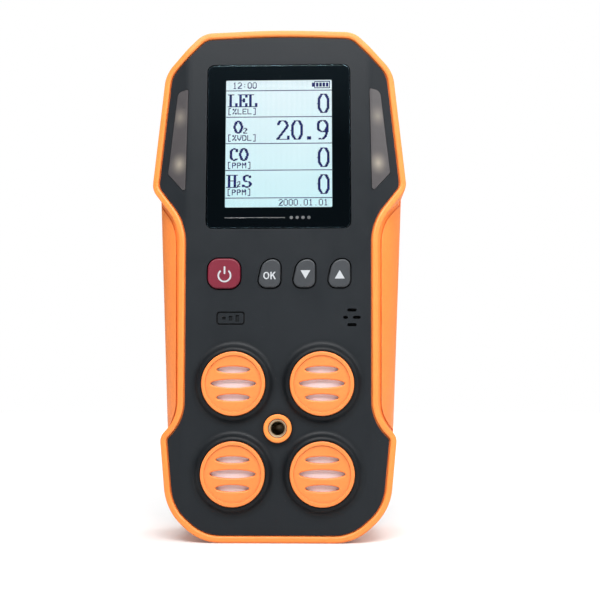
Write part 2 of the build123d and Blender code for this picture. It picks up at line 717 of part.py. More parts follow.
def plunger(name):
    x = button_centre_x(name)
    stem = disc(x, BUTTON_Z, PLUNGER_RADIUS, *PLUNGER_DEPTHS)
    return fillet(stem.edges().group_by(Axis.Y)[0], 0.3)


def keypad_membrane():
    """A rubber sheet behind the buttons, with a rib sealing on the cover and a nub per button."""
    centre = Pos(0, sum(SEAL_Z) / 2)
    width, height = 2 * SEAL_HALF_X, SEAL_Z[1] - SEAL_Z[0]
    sheet = centre * RectangleRounded(width, height, 2.0)
    inside = centre * RectangleRounded(width - 2 * SEAL_RIB, height - 2 * SEAL_RIB, 1.0)
    membrane = slab(sheet, *SEAL_DEPTHS) + slab(sheet - inside, WALL, SEAL_DEPTHS[1])
    for name in BUTTONS:
        nub_back = PLUNGER_DEPTHS[0] - 0.05
        membrane += disc(button_centre_x(name), BUTTON_Z, NUB_RADIUS, SEAL_DEPTHS[1] - OVERLAP, nub_back)
    return membrane


def tact_switches():
    switches = []
    half = SWITCH_SIDE / 2
    for name in BUTTONS:
        x = button_centre_x(name)
        zs = (BUTTON_Z - half, BUTTON_Z + half)
        housing = block((x - half, x + half), zs, (SWITCH_FRONT, BOARD_FRONT))
        housing = chamfer(housing.edges().filter_by(Axis.Y), 0.5)
        well = disc(x, BUTTON_Z, PLUNGER_RADIUS + RUNNING_GAP, SWITCH_FRONT - 1, SWITCH_WELL_BACK)
        switches.append(housing - well)
    return Compound(switches)


# ---------------------------------------------------------------- electronics
def board_blank():
    board = block((-BOARD_HALF_X, BOARD_HALF_X), BOARD_Z, (BOARD_FRONT, BOARD_BACK))
    return board + block((-BOARD_WING_X, BOARD_WING_X), BOARD_WING_Z, (BOARD_FRONT, BOARD_BACK))


def main_pcb():
    board = board_blank()
    for x, z in BOARD_PEGS:
        board -= disc(x, z, PEG_TIP_RADIUS + RUNNING_GAP, BOARD_FRONT - PAST, BOARD_BACK + PAST)
    return board


def main_pcb_chips():
    """The larger parts on the back of the main board: x, z, width, height and thickness."""
    chips = []
    for x, z, width, height, thick in BOARD_CHIPS:
        sides = (x - width / 2, x + width / 2), (z - height / 2, z + height / 2)
        body_of_chip = block(*sides, (BOARD_BACK, BOARD_BACK + thick))
        chips.append(chamfer(body_of_chip.edges().group_by(Axis.Y)[-1], 0.15))
    return Compound(chips)


def usb_socket():
    centre = (0, FACE_Y + PORT_DEPTH)
    shell = Pos(*centre, USB_Z[0]) * RectangleRounded(2 * USB_HALF_X, USB_THICK, USB_THICK / 2 - 0.1)
    inner = RectangleRounded(2 * USB_HALF_X - 0.6, USB_THICK - 0.6, USB_THICK / 2 - 0.4)
    mouth = Pos(*centre, USB_Z[0] + 0.8) * inner
    tongue = Pos(*centre, USB_Z[0]) * Rectangle(6.6, 0.7)
    socket = extrude(shell, amount=USB_Z[1] - USB_Z[0]) - extrude(mouth, amount=USB_Z[1] - USB_Z[0])
    return socket + extrude(tongue, amount=USB_Z[1] - USB_Z[0] - 1.2)


def port_plug():
    """Rubber plug: a pad flush with the crown and a tongue that fills the port."""
    pad = OUTER & port_hole(PLUG_HALF_X, PLUG_HALF_DEPTH)
    pad -= SHELL
    tongue = port_hole(PORT_HALF_X - PLUG_GAP, PORT_HALF_DEPTH - PLUG_GAP) & SHELL
    return pad + tongue


def buzzer():
    can = disc(*BUZZER, BUZZER_RADIUS, *BUZZER_DEPTHS)
    can = fillet(can.edges().group_by(Axis.Y)[0], 0.4)
    return can - disc(*BUZZER, 1.0, BUZZER_DEPTHS[0] - 1, BUZZER_DEPTHS[0] + 1.2)


def buzzer_mesh():
    return disc(*MESH_DISC, *MESH_DEPTHS)


def battery_pack():
    pack = block((-BATTERY_HALF_X, BATTERY_HALF_X), BATTERY_Z, BATTERY_DEPTHS)
    return fillet(pack.edges().filter_by(Axis.Z), 2.0)


def battery_pad():
    half_x = BATTERY_HALF_X - TAPE_INSET
    zs = (BATTERY_Z[0] + TAPE_INSET, BATTERY_Z[1] - TAPE_INSET)
    return block((-half_x, half_x), zs, (BATTERY_DEPTHS[1], TAPE_BACK))


def vibration_motor():
    depth, z = MOTOR_POINT
    can = rod(*MOTOR_X, depth, z, MOTOR_RADIUS)
    nose = rod(MOTOR_X[1], MOTOR_X[1] + 0.6, depth, z, 1.2)
    return can + nose


def vibration_weight():
    """The off-centre weight and the shaft it is pressed on, heavy side hanging down."""
    depth, z = MOTOR_POINT
    heavy = rod(*WEIGHT_X, depth, z, WEIGHT_RADIUS)
    heavy &= block((WEIGHT_X[0] - 1, WEIGHT_X[1] + 1), (z - WEIGHT_RADIUS - 1, z), (depth - 5, depth + 5))
    shaft = rod(MOTOR_X[1] + 0.7, WEIGHT_X[1] + 0.3, depth, z, SHAFT_RADIUS)
    return heavy + rod(*WEIGHT_X, depth, z, 0.9) + shaft


def sensor_pcb():
    depths = (SENSOR_BOARD_FRONT, SENSOR_BOARD_FRONT + BOARD_THICK)
    board = block((-SENSOR_BOARD_HALF_X, SENSOR_BOARD_HALF_X), SENSOR_BOARD_Z, depths)
    board = fillet(board.edges().filter_by(Axis.Y), 4.0)
    for x, z in sensor_points():
        for pin_x, pin_z in sensor_pin_points(x, z):
            board -= disc(pin_x, pin_z, SENSOR_PIN_RADIUS + RUNNING_GAP, depths[0] - PAST, depths[1] + PAST)
    return board


def ribbon(points, radius, centre_x, width):
    """A flat cable swept along (depth, z) points with rounded bends."""
    placed = [(centre_x, FACE_Y + depth, z) for depth, z in points]
    path = FilletPolyline(*placed, radius=radius)
    start = Plane(origin=path @ 0, x_dir=(1, 0, 0), z_dir=path % 0)
    return sweep(start * Rectangle(width, 0.25), path=path)


def sensor_link_cable():
    """Flat cable that joins the backs of the two boards, with a connector on each."""
    main_z, sensor_z = BOARD_Z[0] + 2.0, SENSOR_BOARD_Z[1] - 3.0
    main_back, sensor_back = BOARD_BACK + 1.2, SENSOR_BOARD_FRONT + BOARD_THICK + 1.2
    sides = (LINK_X - LINK_HALF, LINK_X + LINK_HALF)
    cable = block(sides, (main_z - 1.2, main_z + 1.2), (BOARD_BACK, main_back))
    cable += block(sides, (sensor_z - 1.2, sensor_z + 1.2), (sensor_back - 1.2, sensor_back))
    top = SENSOR_BOARD_Z[1] + 1.0
    path = [
        (main_back - 0.6, main_z),
        (main_back + 2.5, main_z),
        (sensor_back + 0.9, top),
        (sensor_back + 0.9, sensor_z),
        (sensor_back - 0.6, sensor_z),
    ]
    return cable + ribbon(path, 0.6, LINK_X, 2 * LINK_HALF - 1.0)


# ---------------------------------------------------------------- sensors
def sensor_pin_points(x, z):
    angles = [math.radians(degrees) for degrees in (90, 210, 330)]
    return [(x + SENSOR_PIN_CIRCLE * math.cos(a), z + SENSOR_PIN_CIRCLE * math.sin(a)) for a in angles]


def sensor_cell(x, z):
    """One plug-in sensor: a can with a shoulder, a gas inlet in front and three pins behind."""
    front, back = SENSOR_DEPTHS
    can = disc(x, z, SENSOR_RADIUS, front, back)
    can -= ring(x, z, SENSOR_RADIUS + 1, SENSOR_RADIUS - 0.5, back - 4.0, back - 3.2)
    can -= disc(x, z, 3.0, front - 1, front + 0.8)
    for pin_x, pin_z in sensor_pin_points(x, z):
        can += disc(pin_x, pin_z, SENSOR_PIN_RADIUS, back - OVERLAP, SENSOR_PIN_BACK)
    return can


def sensor_cap(x, z):
    """Snap-in grille: a dished face with three slots, a bore for the filter and a holding flange."""
    cap = disc(x, z, CAP_RADIUS, -CAP_PROUD, CAP_FLANGE_DEPTHS[0])
    cap = fillet(cap.edges().group_by(Axis.Y)[0], 0.3)
    cap += disc(x, z, CAP_FLANGE_RADIUS, *CAP_FLANGE_DEPTHS)
    cap -= cone(x, z, CAP_DISH_RADIUS, CAP_DISH_RADIUS - 0.2, -CAP_PROUD - 0.001, -CAP_PROUD + CAP_DISH)
    cap -= disc(x, z, CAP_BORE_RADIUS, CAP_PLATE_BACK, CAP_FLANGE_DEPTHS[1] + 1)
    slots = Pos(x, z) * Ellipse(*SLOT_LONG)
    for step in (-SLOT_PITCH, SLOT_PITCH):
        slots += Pos(x, z + step) * Ellipse(*SLOT_SHORT)
    cap -= slab(slots, -CAP_PROUD - 1, CAP_PLATE_BACK + 1)
    dish_floor = FACE_Y - CAP_PROUD + CAP_DISH
    on_floor = [edge for edge in cap.edges() if abs((edge @ 0.5).Y - dish_floor) < 0.01]
    mouths = [edge for edge in on_floor if edge.length < 5 * SLOT_LONG[0]]
    return fillet(mouths, SLOT_ROUND)


def sensor_filter(x, z):
    return disc(x, z, FILTER_RADIUS, CAP_PLATE_BACK, FILTER_BACK)


def sensor_gaskets():
    return Compound([ring(x, z, *SEAT_RING, FILTER_BACK, SENSOR_DEPTHS[0]) for x, z in sensor_points()])


def insert_collar():
    collar = ring(0, INSERT_Z, COLLAR_RADIUS, COLLAR_BORE, *COLLAR_DEPTHS)
    return fillet(collar.edges().group_by(Axis.Y)[0], 0.35)


def threaded_insert():
    insert = disc(0, INSERT_Z, INSERT_RADIUS, *INSERT_DEPTHS)
    insert -= disc(0, INSERT_Z, INSERT_BORE, INSERT_DEPTHS[0], INSERT_FLOOR)
    insert = chamfer(insert.edges().group_by(Axis.Y)[0].sort_by(SortBy.RADIUS)[0], INSERT_CHAMFER)
    return insert - ring(0, INSERT_Z, INSERT_RADIUS + 1, INSERT_RADIUS - 0.3, 3.6, 5.0)


# ---------------------------------------------------------------- belt clip
def ear(xs):
    """A lug round the hinge pin, reaching back or forward from it."""
    depth, z = PIN_POINT
    return rod(*xs, depth, z, EAR_RADIUS)


def mirrored_ears(xs, root):
    depth, z = PIN_POINT
    lug = ear(xs) + block(xs, (z - EAR_RADIUS, z + EAR_RADIUS), tuple(sorted((depth, root))))
    return both_sides(lug)


def clip_bracket():
    plate = window_sketch(BRACKET_HALF_X, BRACKET_Z, 2.0)
    bracket = slab(plate, BACK_DEPTH, BACK_DEPTH + BRACKET_THICK)
    bracket += mirrored_ears(BRACKET_EAR_X, BACK_DEPTH + BRACKET_THICK / 2)
    bracket -= rod(-REACH, REACH, *PIN_POINT, PIN_RADIUS)
    for side in (-1, 1):
        x, z = side * CLIP_SCREWS[0], CLIP_SCREWS[1]
        bracket -= disc(x, z, SCREW_RADIUS + 0.15, BACK_DEPTH - 1, BACK_DEPTH + 3)
    return bracket


def clip_arm():
    """A bent strip: thumb end at the top, hinge lugs, and a lipped tip lying on the back."""
    outer = [(depth + ARM_THICK, z) for depth, z in reversed(ARM_INNER)]
    strip = side_profile(ARM_INNER + outer, ARM_HALF_X)
    corners = [
        (-ARM_HALF_X, ARM_INNER[0][1] + 1, 3.0),
        (ARM_HALF_X, ARM_INNER[0][1] + 1, 3.0),
        (ARM_HALF_X, PIN_POINT[1] - 8, 4.0),
        (ARM_TIP_HALF_X, ARM_INNER[-1][1], 3.0),
        (-ARM_TIP_HALF_X, ARM_INNER[-1][1], 3.0),
        (-ARM_HALF_X, PIN_POINT[1] - 8, 4.0),
    ]
    strip &= slab(rounded_outline(corners), BACK_DEPTH, CLIP_BACK_DEPTH + 3)
    strip += mirrored_ears(ARM_EAR_X, ARM_INNER[2][0] + ARM_THICK / 2)
    return strip - rod(-REACH, REACH, *PIN_POINT, PIN_RADIUS + FIT_GAP)


def clip_pin():
    pin = rod(-PIN_HALF, PIN_HALF, *PIN_POINT, PIN_RADIUS)
    head_radius, head_thick = PIN_HEAD
    return pin + both_sides(rod(PIN_HALF, PIN_HALF + head_thick, *PIN_POINT, head_radius))


def clip_spring():
    """A torsion spring: one leg on the bracket, the other under the thumb end."""
    depth, z = PIN_POINT
    length = SPRING_PITCH * SPRING_TURNS
    coil = Helix(SPRING_PITCH, length, SPRING_RADIUS, direction=(1, 0, 0))
    coil = Pos(-length / 2, FACE_Y + depth, z) * Rot(X=SPRING_START_DEG - 90) * coil
    legs = []
    for at, sign, length_of_leg in zip((0, 1), (-1, 1), SPRING_LEGS):
        tangent = coil % at
        legs.append(Line(coil @ at, (coil @ at) + tangent * (sign * length_of_leg)))
    pieces = Part()
    for path in [coil] + legs:
        start = Plane(origin=path @ 0, z_dir=path % 0)
        pieces += sweep(start * Circle(SPRING_WIRE), path=path, is_frenet=path is coil)
    return pieces


def clip_screws():
    screws = []
    for side in (-1, 1):
        x, z = side * CLIP_SCREWS[0], CLIP_SCREWS[1]
        head_front = BACK_DEPTH + BRACKET_THICK
        shank = disc(x, z, SCREW_RADIUS, CLIP_SCREW_TIP + 0.3, head_front)
        screws.append(shank + screw_head(x, z, 2.0, head_front, head_front + 1.0))
    return Compound(screws)


def rating_label():
    outline = Pos(0, sum(LABEL_Z) / 2) * RectangleRounded(2 * LABEL_HALF_X, LABEL_Z[1] - LABEL_Z[0], 1.5)
    return slab(outline, BACK_DEPTH - LABEL_THICK, BACK_DEPTH - 0.05)


# ---------------------------------------------------------------- export
GASKET = gasket_ring()
LENS = alarm_lens()

PIECES = {
    "front_cover": front_cover(),
    "rear_cover": rear_cover(GASKET),
    "front_bumper": front_bumper(),
    "rear_bumper": rear_bumper(),
    "housing_gasket": GASKET,
    "housing_screws": housing_screws(),
    "display_window": display_window(),
    "window_mask": window_mask(),
    "window_adhesive": window_adhesive(),
    "lcd_glass": lcd_glass(),
    "lcd_frame": lcd_frame(),
    "lcd_flex": lcd_flex(),
    "alarm_lens_right": LENS,
    "alarm_lens_left": mirror(LENS, Plane.YZ),
    "alarm_leds": alarm_leds(),
    "keypad_membrane": keypad_membrane(),
    "tact_switches": tact_switches(),
    "main_pcb": main_pcb(),
    "main_pcb_chips": main_pcb_chips(),
    "usb_socket": usb_socket(),
    "port_plug": port_plug(),
    "buzzer": buzzer(),
    "buzzer_mesh": buzzer_mesh(),
    "battery_pack": battery_pack(),
    "battery_pad": battery_pad(),
    "vibration_motor": vibration_motor(),
    "vibration_weight": vibration_weight(),
    "sensor_pcb": sensor_pcb(),
    "sensor_link_cable": sensor_link_cable(),
    "sensor_gaskets": sensor_gaskets(),
    "insert_collar": insert_collar(),
    "threaded_insert": threaded_insert(),
    "clip_bracket": clip_bracket(),
    "clip_arm": clip_arm(),
    "clip_pin": clip_pin(),
    "clip_spring": clip_spring(),
    "clip_screws": clip_screws(),
    "rating_label": rating_label(),
}
for NAME in BUTTONS:
    PIECES[f"{NAME}_button"] = button(NAME)
    PIECES[f"{NAME}_plunger"] = plunger(NAME)
for GAS, (CAP_X, CAP_Z) in zip(GASES, sensor_points()):
    PIECES[f"cap_{GAS}"] = sensor_cap(CAP_X, CAP_Z)
    PIECES[f"filter_{GAS}"] = sensor_filter(CAP_X, CAP_Z)
    PIECES[f"sensor_{GAS}"] = sensor_cell(CAP_X, CAP_Z)

for NAME, SHAPE in PIECES.items():
    export_step(Pos(0, 0, -FOOT_LEVEL) * SHAPE, f"parts/{NAME}.step")
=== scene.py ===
"""Looks for the portable gas detector.

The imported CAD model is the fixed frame. This script gives every CAD node a node material, adds the
pieces that CAD leaves out (display content, window rule, key prints, thread, label print), and sets
the floor, lights and camera. Lengths named *_MM or *_mm are millimetres, those inside the display
are dots, and all others are metres.
"""

import json
import math

import bmesh
import bpy
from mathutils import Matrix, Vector


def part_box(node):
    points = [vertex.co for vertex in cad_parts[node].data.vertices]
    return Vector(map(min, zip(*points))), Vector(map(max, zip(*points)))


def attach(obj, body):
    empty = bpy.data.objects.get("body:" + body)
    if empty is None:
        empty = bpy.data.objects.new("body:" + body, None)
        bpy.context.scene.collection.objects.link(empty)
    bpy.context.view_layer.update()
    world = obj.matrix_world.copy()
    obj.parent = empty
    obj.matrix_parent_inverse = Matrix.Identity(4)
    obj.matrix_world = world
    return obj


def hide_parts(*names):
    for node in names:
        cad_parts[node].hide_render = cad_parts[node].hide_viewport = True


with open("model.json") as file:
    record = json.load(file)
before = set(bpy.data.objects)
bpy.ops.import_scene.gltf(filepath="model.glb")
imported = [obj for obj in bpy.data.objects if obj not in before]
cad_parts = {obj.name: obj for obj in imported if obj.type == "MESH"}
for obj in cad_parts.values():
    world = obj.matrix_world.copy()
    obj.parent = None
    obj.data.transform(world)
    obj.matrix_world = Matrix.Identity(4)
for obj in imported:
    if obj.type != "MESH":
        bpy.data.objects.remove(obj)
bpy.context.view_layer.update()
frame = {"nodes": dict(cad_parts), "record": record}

MM = 0.001

# ---------------------------------------------------------------- camera and stage
CAMERA_AIM_MM = (5.54, 59.82)  # x and z of the point on the front panel in the middle of the picture
CAMERA_DISTANCE_MM = 217.0
CAMERA_AZIMUTH = 1.4  # degrees to the right of straight on
CAMERA_ELEVATION = -6.9  # degrees above level: the camera looks up a little
CAMERA_LENS_MM = 51.6
CAMERA_SENSOR_MM = 36.0
CAMERA_CLIP = (0.01, 20.0)
SKY_STRENGTH = 1.0
SKY_DARK = (0.10, 0.105, 0.115, 1.0)
SKY_BRIGHT = (1.0, 1.0, 1.0, 1.0)
SKY_RAMP = (0.30, 0.75)  # where the dark part ends and the bright part starts
BACKDROP = (1.0, 1.0, 1.0, 1.0)
FLOOR_RADIUS = 3.0
FLOOR_SIDES = 96
NEAR_FLOOR_GLOW = 0.1
FAR_FLOOR_GLOW = 0.6  # hides the horizon: the paper glows by itself away from the instrument
GLOW_STARTS, GLOW_FULL = 0.10, 0.9  # distances from the instrument

# Soft lights: name, place, point aimed at, width, height and watts
LIGHTS = (
    ("key_light", (0.0, -0.38, 0.48), (0, 0, 0.11), 0.40, 0.25, 4.2),
    ("side_light", (0.45, -0.25, 0.40), (0, 0, 0.08), 0.3, 0.3, 1.1),
    ("back_light", (0.3, 0.7, 0.6), (0, 0, 0.07), 0.6, 0.6, 3.6),
)

# ---------------------------------------------------------------- sizes the CAD boxes do not give
COLUMNS = 128  # dots across the display
ROWS = 158
PIXEL_MM = 0.2155  # pitch of the dots
MASK_TOP_MM = 3.85  # dark border above the lit area
PANEL_BEHIND_MM = 0.22  # lit panel behind the back of the mask
PANEL_THICK_MM = 0.08
PANEL_MARGIN_MM = 0.25  # hidden by the mask
PANEL_CORNER_MM = 0.3
INK_AHEAD_MM = 0.03
INK_THICK_MM = 0.02
LED_HALF_WIDTH_MM = 1.4
LED_HALF_HEIGHT_MM = 1.75
BAND_PITCH_MM = 2 * math.pi * PIXEL_MM  # faint bands on the lit panel
FLUTE_PITCH_MM = 1.8  # faint flutes in the alarm lens
SPOT_SPREAD_MM = 2.8
SPOT_OUTWARD_MM, SPOT_RAISED_MM = 0.7, 0.8  # the lens shifts the spots from the LEDs
BOSS_TOP_MM, BOSS_FOOT_MM = 8.4, 11.4  # from the middle of a sensor cap's face: the painted shade on each boss fades out between these
PRINT_THICK_MM = 0.03
PRINT_AHEAD_MM = 0.012
RULE_RAISED_MM, RULE_START_MM = 2.9, 4.6  # from the foot and the left edge of the window
RULE_LENGTH_MM, RULE_HALF_MM = 15.5, 0.11
RULE_DOTS, RULE_DOT_START_MM, RULE_DOT_STEP_MM, RULE_DOT_MM = 4, 17.2, 1.5, 0.42
RULE_THICK_MM = 0.02
# How far the middle of each key's print sits from the middle of its face: to the right and down
PRINT_SHIFT_MM = {
    "power_button": (0.15, 0.55),
    "ok_button": (0.0, 0.6),
    "down_button": (0.3, 0.35),
    "up_button": (0.1, 0.35),
}
POWER_RING_MM, POWER_RING_INSIDE_MM = 1.75, 1.35
POWER_GAP_HALF = 40  # degrees of the ring left open on each side of the stem
POWER_STEM_MM = (0.21, 0.98)  # half width and half height
ARROW_HALF_MM, ARROW_HIGH_MM = 1.25, 2.15
LETTER_HALF_HIGH_MM, LETTER_STROKE_MM = 0.95, 0.34
LETTER_STEPS = 40
THREAD_PITCH_MM = 0.7
THREAD_CREST_MM = 1.65  # the CAD bore
THREAD_ROOT_MM = 2.02
THREAD_DEEP_MM = 7.5  # from the mouth to the floor of the bore
THREAD_END_CONE_MM = 0.4  # the drill's cone at the floor of the bore
MOUTH_FLARE_MM = 0.05  # wider than the thread's root
RIM_BEVEL_MM = (0.1, 0.12)  # across and along the insert
STEPS_PER_PITCH = 8
TURN_STEPS = 64
LABEL_INSET_MM, LABEL_LINE_MM, LABEL_RING_MM = 1.2, 0.18, 2.2
LABEL_BARS_MM = (13.0, 16.5, 11.0, 15.0, 9.5)
LABEL_FIRST_BAR_MM, LABEL_BAR_STEP_MM, LABEL_BAR_HALF_MM = 3.2, 2.6, 0.32
LABEL_STRIPE_STEP_MM, LABEL_STRIPE_FOOT_MM, LABEL_STRIPE_TOP_MM = 1.5, 1.6, 5.4
LABEL_STRIPES_MM = (0.3, 0.7, 0.3, 0.5, 0.9, 0.3, 0.6, 0.3, 0.8, 0.4, 0.3, 0.7)

# ---------------------------------------------------------------- linear colours
ORANGE = (0.90, 0.242, 0.040)
# painted shade for the bumper's creases, gaps and grooves
ORANGE_CREASE_SHADE = (0.76, 0.165, 0.024)
CAP_ORANGE = (0.86, 0.217, 0.042)
# painted shade for the sensor caps' slot walls and creases
CAP_CREASE_SHADE = (0.20, 0.045, 0.012)
# paler rubbed edges of bumper and caps: partly wear, partly painted highlight
ORANGE_RUBBED_AND_HIGHLIT = (0.95, 0.40, 0.15)
CHARCOAL = (0.0112, 0.0138, 0.0166)
GLASS_BLACK = (0.002, 0.006, 0.012)
COATING_BLUE = (0.50, 0.80, 1.0, 1.0)
KEY_GREY = (0.036, 0.040, 0.045)
KEY_RED = (0.150, 0.007, 0.022)
PRINT_WHITE = (0.42, 0.44, 0.46)
DISPLAY_TOP = (0.78, 0.93, 0.99)
DISPLAY_FOOT = (0.60, 0.92, 0.99)
DISPLAY_INK = (0.006, 0.008, 0.140)
DISPLAY_GLOW = 0.92
LENS_SMOKE = (0.053, 0.048, 0.050)
LENS_SPOT = (0.25, 0.22, 0.18)
MEMBRANE = (0.72, 0.62, 0.63)
BRASS = (0.40, 0.31, 0.20)
STEEL = (0.38, 0.38, 0.39)
PAPER_DARK = (0.62, 0.62, 0.62)
PAPER_PALE = (0.65, 0.65, 0.65)


# ---------------------------------------------------------------- node materials
class Surface:
    """A node material being built round one Principled shader."""

    def __init__(self, name, **sockets):
        self.material = bpy.data.materials.new(name)
        self.material.use_nodes = True
        self.tree = self.material.node_tree
        self.shader = next(n for n in self.tree.nodes if n.type == "BSDF_PRINCIPLED")
        self.place = self.add("ShaderNodeTexCoord").outputs["Object"]
        for socket, value in sockets.items():
            self.shader.inputs[socket.replace("_", " ")].default_value = value

    def add(self, kind, **settings):
        node = self.tree.nodes.new(kind)
        for setting, value in settings.items():
            setattr(node, setting, value)
        return node

    def join(self, output, target):
        self.tree.links.new(output, target)

    def stretched(self, factors):
        """Coordinates multiplied along each axis, for grain that runs one way."""
        mapping = self.add("ShaderNodeMapping")
        mapping.inputs["Scale"].default_value = factors
        self.join(self.place, mapping.inputs["Vector"])
        return mapping.outputs["Vector"]

    def noise(self, size_mm, detail=3.0, roughness=0.55, where=None):
        node = self.add("ShaderNodeTexNoise")
        node.inputs["Scale"].default_value = 1 / (size_mm * MM)
        node.inputs["Detail"].default_value = detail
        node.inputs["Roughness"].default_value = roughness
        self.join(where or self.place, node.inputs["Vector"])
        return node.outputs["Fac"]

    def cells(self, size_mm):
        node = self.add("ShaderNodeTexVoronoi")
        node.inputs["Scale"].default_value = 1 / (size_mm * MM)
        self.join(self.place, node.inputs["Vector"])
        return node.outputs["Distance"]

    def bands(self, across, pitch_mm):
        """Waves 0 to 1 across one axis; Blender's wave has 20 radians to each unit at scale 1."""
        node = self.add("ShaderNodeTexWave", wave_type="BANDS", bands_direction=across)
        node.inputs["Scale"].default_value = 2 * math.pi / (20 * pitch_mm * MM)
        self.join(self.place, node.inputs["Vector"])
        return node.outputs["Fac"]

    def rescale(self, value, low, high, new_low, new_high):
        node = self.add("ShaderNodeMapRange")
        limits = {"From Min": low, "From Max": high, "To Min": new_low, "To Max": new_high}
        for socket, number in limits.items():
            node.inputs[socket].default_value = number
        self.join(value, node.inputs["Value"])
        return node.outputs["Result"]

    def math(self, operation, first, second):
        node = self.add("ShaderNodeMath", operation=operation)
        for socket, value in zip(node.inputs, (first, second)):
            if isinstance(value, (int, float)):
                socket.default_value = value
            else:
                self.join(value, socket)
        return node.outputs["Value"]

    def mix(self, factor, first, second):
        """A colour between two colours; each is a tuple or another node's colour."""
        node = self.add("ShaderNodeMix", data_type="RGBA")
        self.join(factor, node.inputs["Factor"])
        for socket, value in ((node.inputs[6], first), (node.inputs[7], second)):
            if isinstance(value, tuple):
                socket.default_value = (*value, 1.0)
            else:
                self.join(value, socket)
        return node.outputs[2]

    def colour(self, value):
        self.join(value, self.shader.inputs["Base Color"])

    def rough(self, value):
        self.join(value, self.shader.inputs["Roughness"])

    def uneven_rough(self, noise, smoothest, roughest):
        """Roughness that follows a noise, whose values mostly lie between 0.3 and 0.7."""
        self.rough(self.rescale(noise, 0.3, 0.7, smoothest, roughest))

    def bump(self, *layers):
        """Stacks (height, depth in mm, strength) layers into the shader's normal."""
        normal = None
        for height, depth_mm, strength in layers:
            node = self.add("ShaderNodeBump")
            node.inputs["Distance"].default_value = depth_mm * MM
            node.inputs["Strength"].default_value = strength
            self.join(height, node.inputs["Height"])
            if normal:
                self.join(normal, node.inputs["Normal"])
            normal = node.outputs["Normal"]
        self.join(normal, self.shader.inputs["Normal"])

    def creases(self, reach_mm):
        """An occlusion mask for painted shade: 1 in gaps, slots and corners, falling to 0 on open faces."""
        node = self.add("ShaderNodeAmbientOcclusion", samples=6)
        node.inputs["Distance"].default_value = reach_mm * MM
        return self.rescale(node.outputs["AO"], 0.35, 0.95, 1.0, 0.0)

    def edges(self, radius_mm):
        """1 on sharp convex and concave edges, falling to 0 on flat faces."""
        bevel = self.add("ShaderNodeBevel", samples=4)
        bevel.inputs["Radius"].default_value = radius_mm * MM
        geometry = self.add("ShaderNodeNewGeometry")
        dot = self.add("ShaderNodeVectorMath", operation="DOT_PRODUCT")
        self.join(bevel.outputs["Normal"], dot.inputs[0])
        self.join(geometry.outputs["Normal"], dot.inputs[1])
        return self.rescale(dot.outputs["Value"], 1.0, 0.75, 0.0, 1.0)


def shade(colour, factor):
    return tuple(channel * factor for channel in colour)


def moulded(name, colour, roughness, grain_mm, pit_mm, mottle=0.12, wear_and_highlight=None, crease_shade=None, **sockets):
    """Moulded plastic or rubber: cloudy colour, spark-eroded grain, uneven gloss, rubbed edges that are
    partly painted highlight, and painted shade in creases.
    """
    surface = Surface(name, **sockets)
    cloud = surface.noise(14.0, 4.0)
    tint = surface.mix(cloud, shade(colour, 1 - mottle), shade(colour, 1 + mottle))
    speck = surface.rescale(surface.noise(grain_mm * 2.5, 2.0), 0.35, 0.65, 0.0, 0.35)
    tint = surface.mix(speck, tint, shade(colour, 0.78))
    if wear_and_highlight:
        patches = surface.rescale(surface.noise(3.0), 0.35, 0.65, 0.1, 0.6)
        # paler edges: partly rubbed wear, partly painted highlight
        tint = surface.mix(surface.math("MULTIPLY", surface.edges(0.35), patches), tint, wear_and_highlight)
        # painted shade: darker in creases, gaps and slot walls, from an occlusion mask broken up by noise
        shade_patchiness = surface.rescale(surface.noise(2.0), 0.2, 0.6, 0.6, 0.95)
        tint = surface.mix(surface.math("MULTIPLY", surface.creases(1.1), shade_patchiness), tint, crease_shade)
    surface.colour(tint)
    smear = surface.noise(7.0, 5.0)
    surface.uneven_rough(smear, roughness - 0.06, roughness + 0.06)
    fine = surface.noise(grain_mm, 3.0, 0.6)
    pits = surface.cells(grain_mm * 1.7)
    wave = surface.noise(11.0, 1.0)
    surface.bump((wave, 0.05, 0.12), (pits, pit_mm, 0.35), (fine, pit_mm, 0.6))
    return surface.material


def key_rubber(name, colour, rubbed_and_highlit):
    """The moulded rubber of a key, paler where thumbs rub its edges and partly painted highlight there,
    with painted shade in its gaps.
    """
    return moulded(name, colour, 0.44, 0.25, 0.010, 0.10, rubbed_and_highlit, shade(colour, 0.3), Specular_IOR_Level=0.35)


def cover_plastic():
    """Charcoal housing plastic with fine grain, a few specks of dust and some paler edges, with painted
    shade in creases, along the rim and on the sensor bosses.
    """
    surface = Surface("cover_plastic", Specular_IOR_Level=0.17)
    cloud = surface.noise(16.0, 5.0)
    tint = surface.mix(cloud, shade(CHARCOAL, 0.82), shade(CHARCOAL, 1.2))
    patches = surface.rescale(surface.noise(2.5), 0.4, 0.7, 0.0, 0.6)
    tint = surface.mix(surface.math("MULTIPLY", surface.edges(0.3), patches), tint, shade(CHARCOAL, 2.6))
    # painted shade: darker in creases and gaps, from an occlusion mask
    tint = surface.mix(surface.creases(2.2), tint, shade(CHARCOAL, 0.25))
    # painted shadow: a near-black line tight against the raised rim and other steps
    tint = surface.mix(surface.creases(0.5), tint, shade(CHARCOAL, 0.05))
    # painted shade on the flanks of the bosses round the sensor caps
    tint = surface.mix(painted_boss_shade(surface), tint, shade(CHARCOAL, 0.30))
    dust = surface.rescale(surface.cells(1.6), 0.045, 0.02, 0.0, 1.0)
    thin = surface.rescale(surface.noise(9.0, 2.0), 0.5, 0.7, 0.0, 0.5)
    tint = surface.mix(surface.math("MULTIPLY", dust, thin), tint, (0.30, 0.30, 0.31))
    surface.colour(tint)
    surface.uneven_rough(surface.noise(8.0, 5.0), 0.40, 0.52)
    surface.bump((surface.cells(0.34), 0.012, 0.5), (surface.noise(0.16, 3.0, 0.65), 0.012, 0.8))
    return surface.material


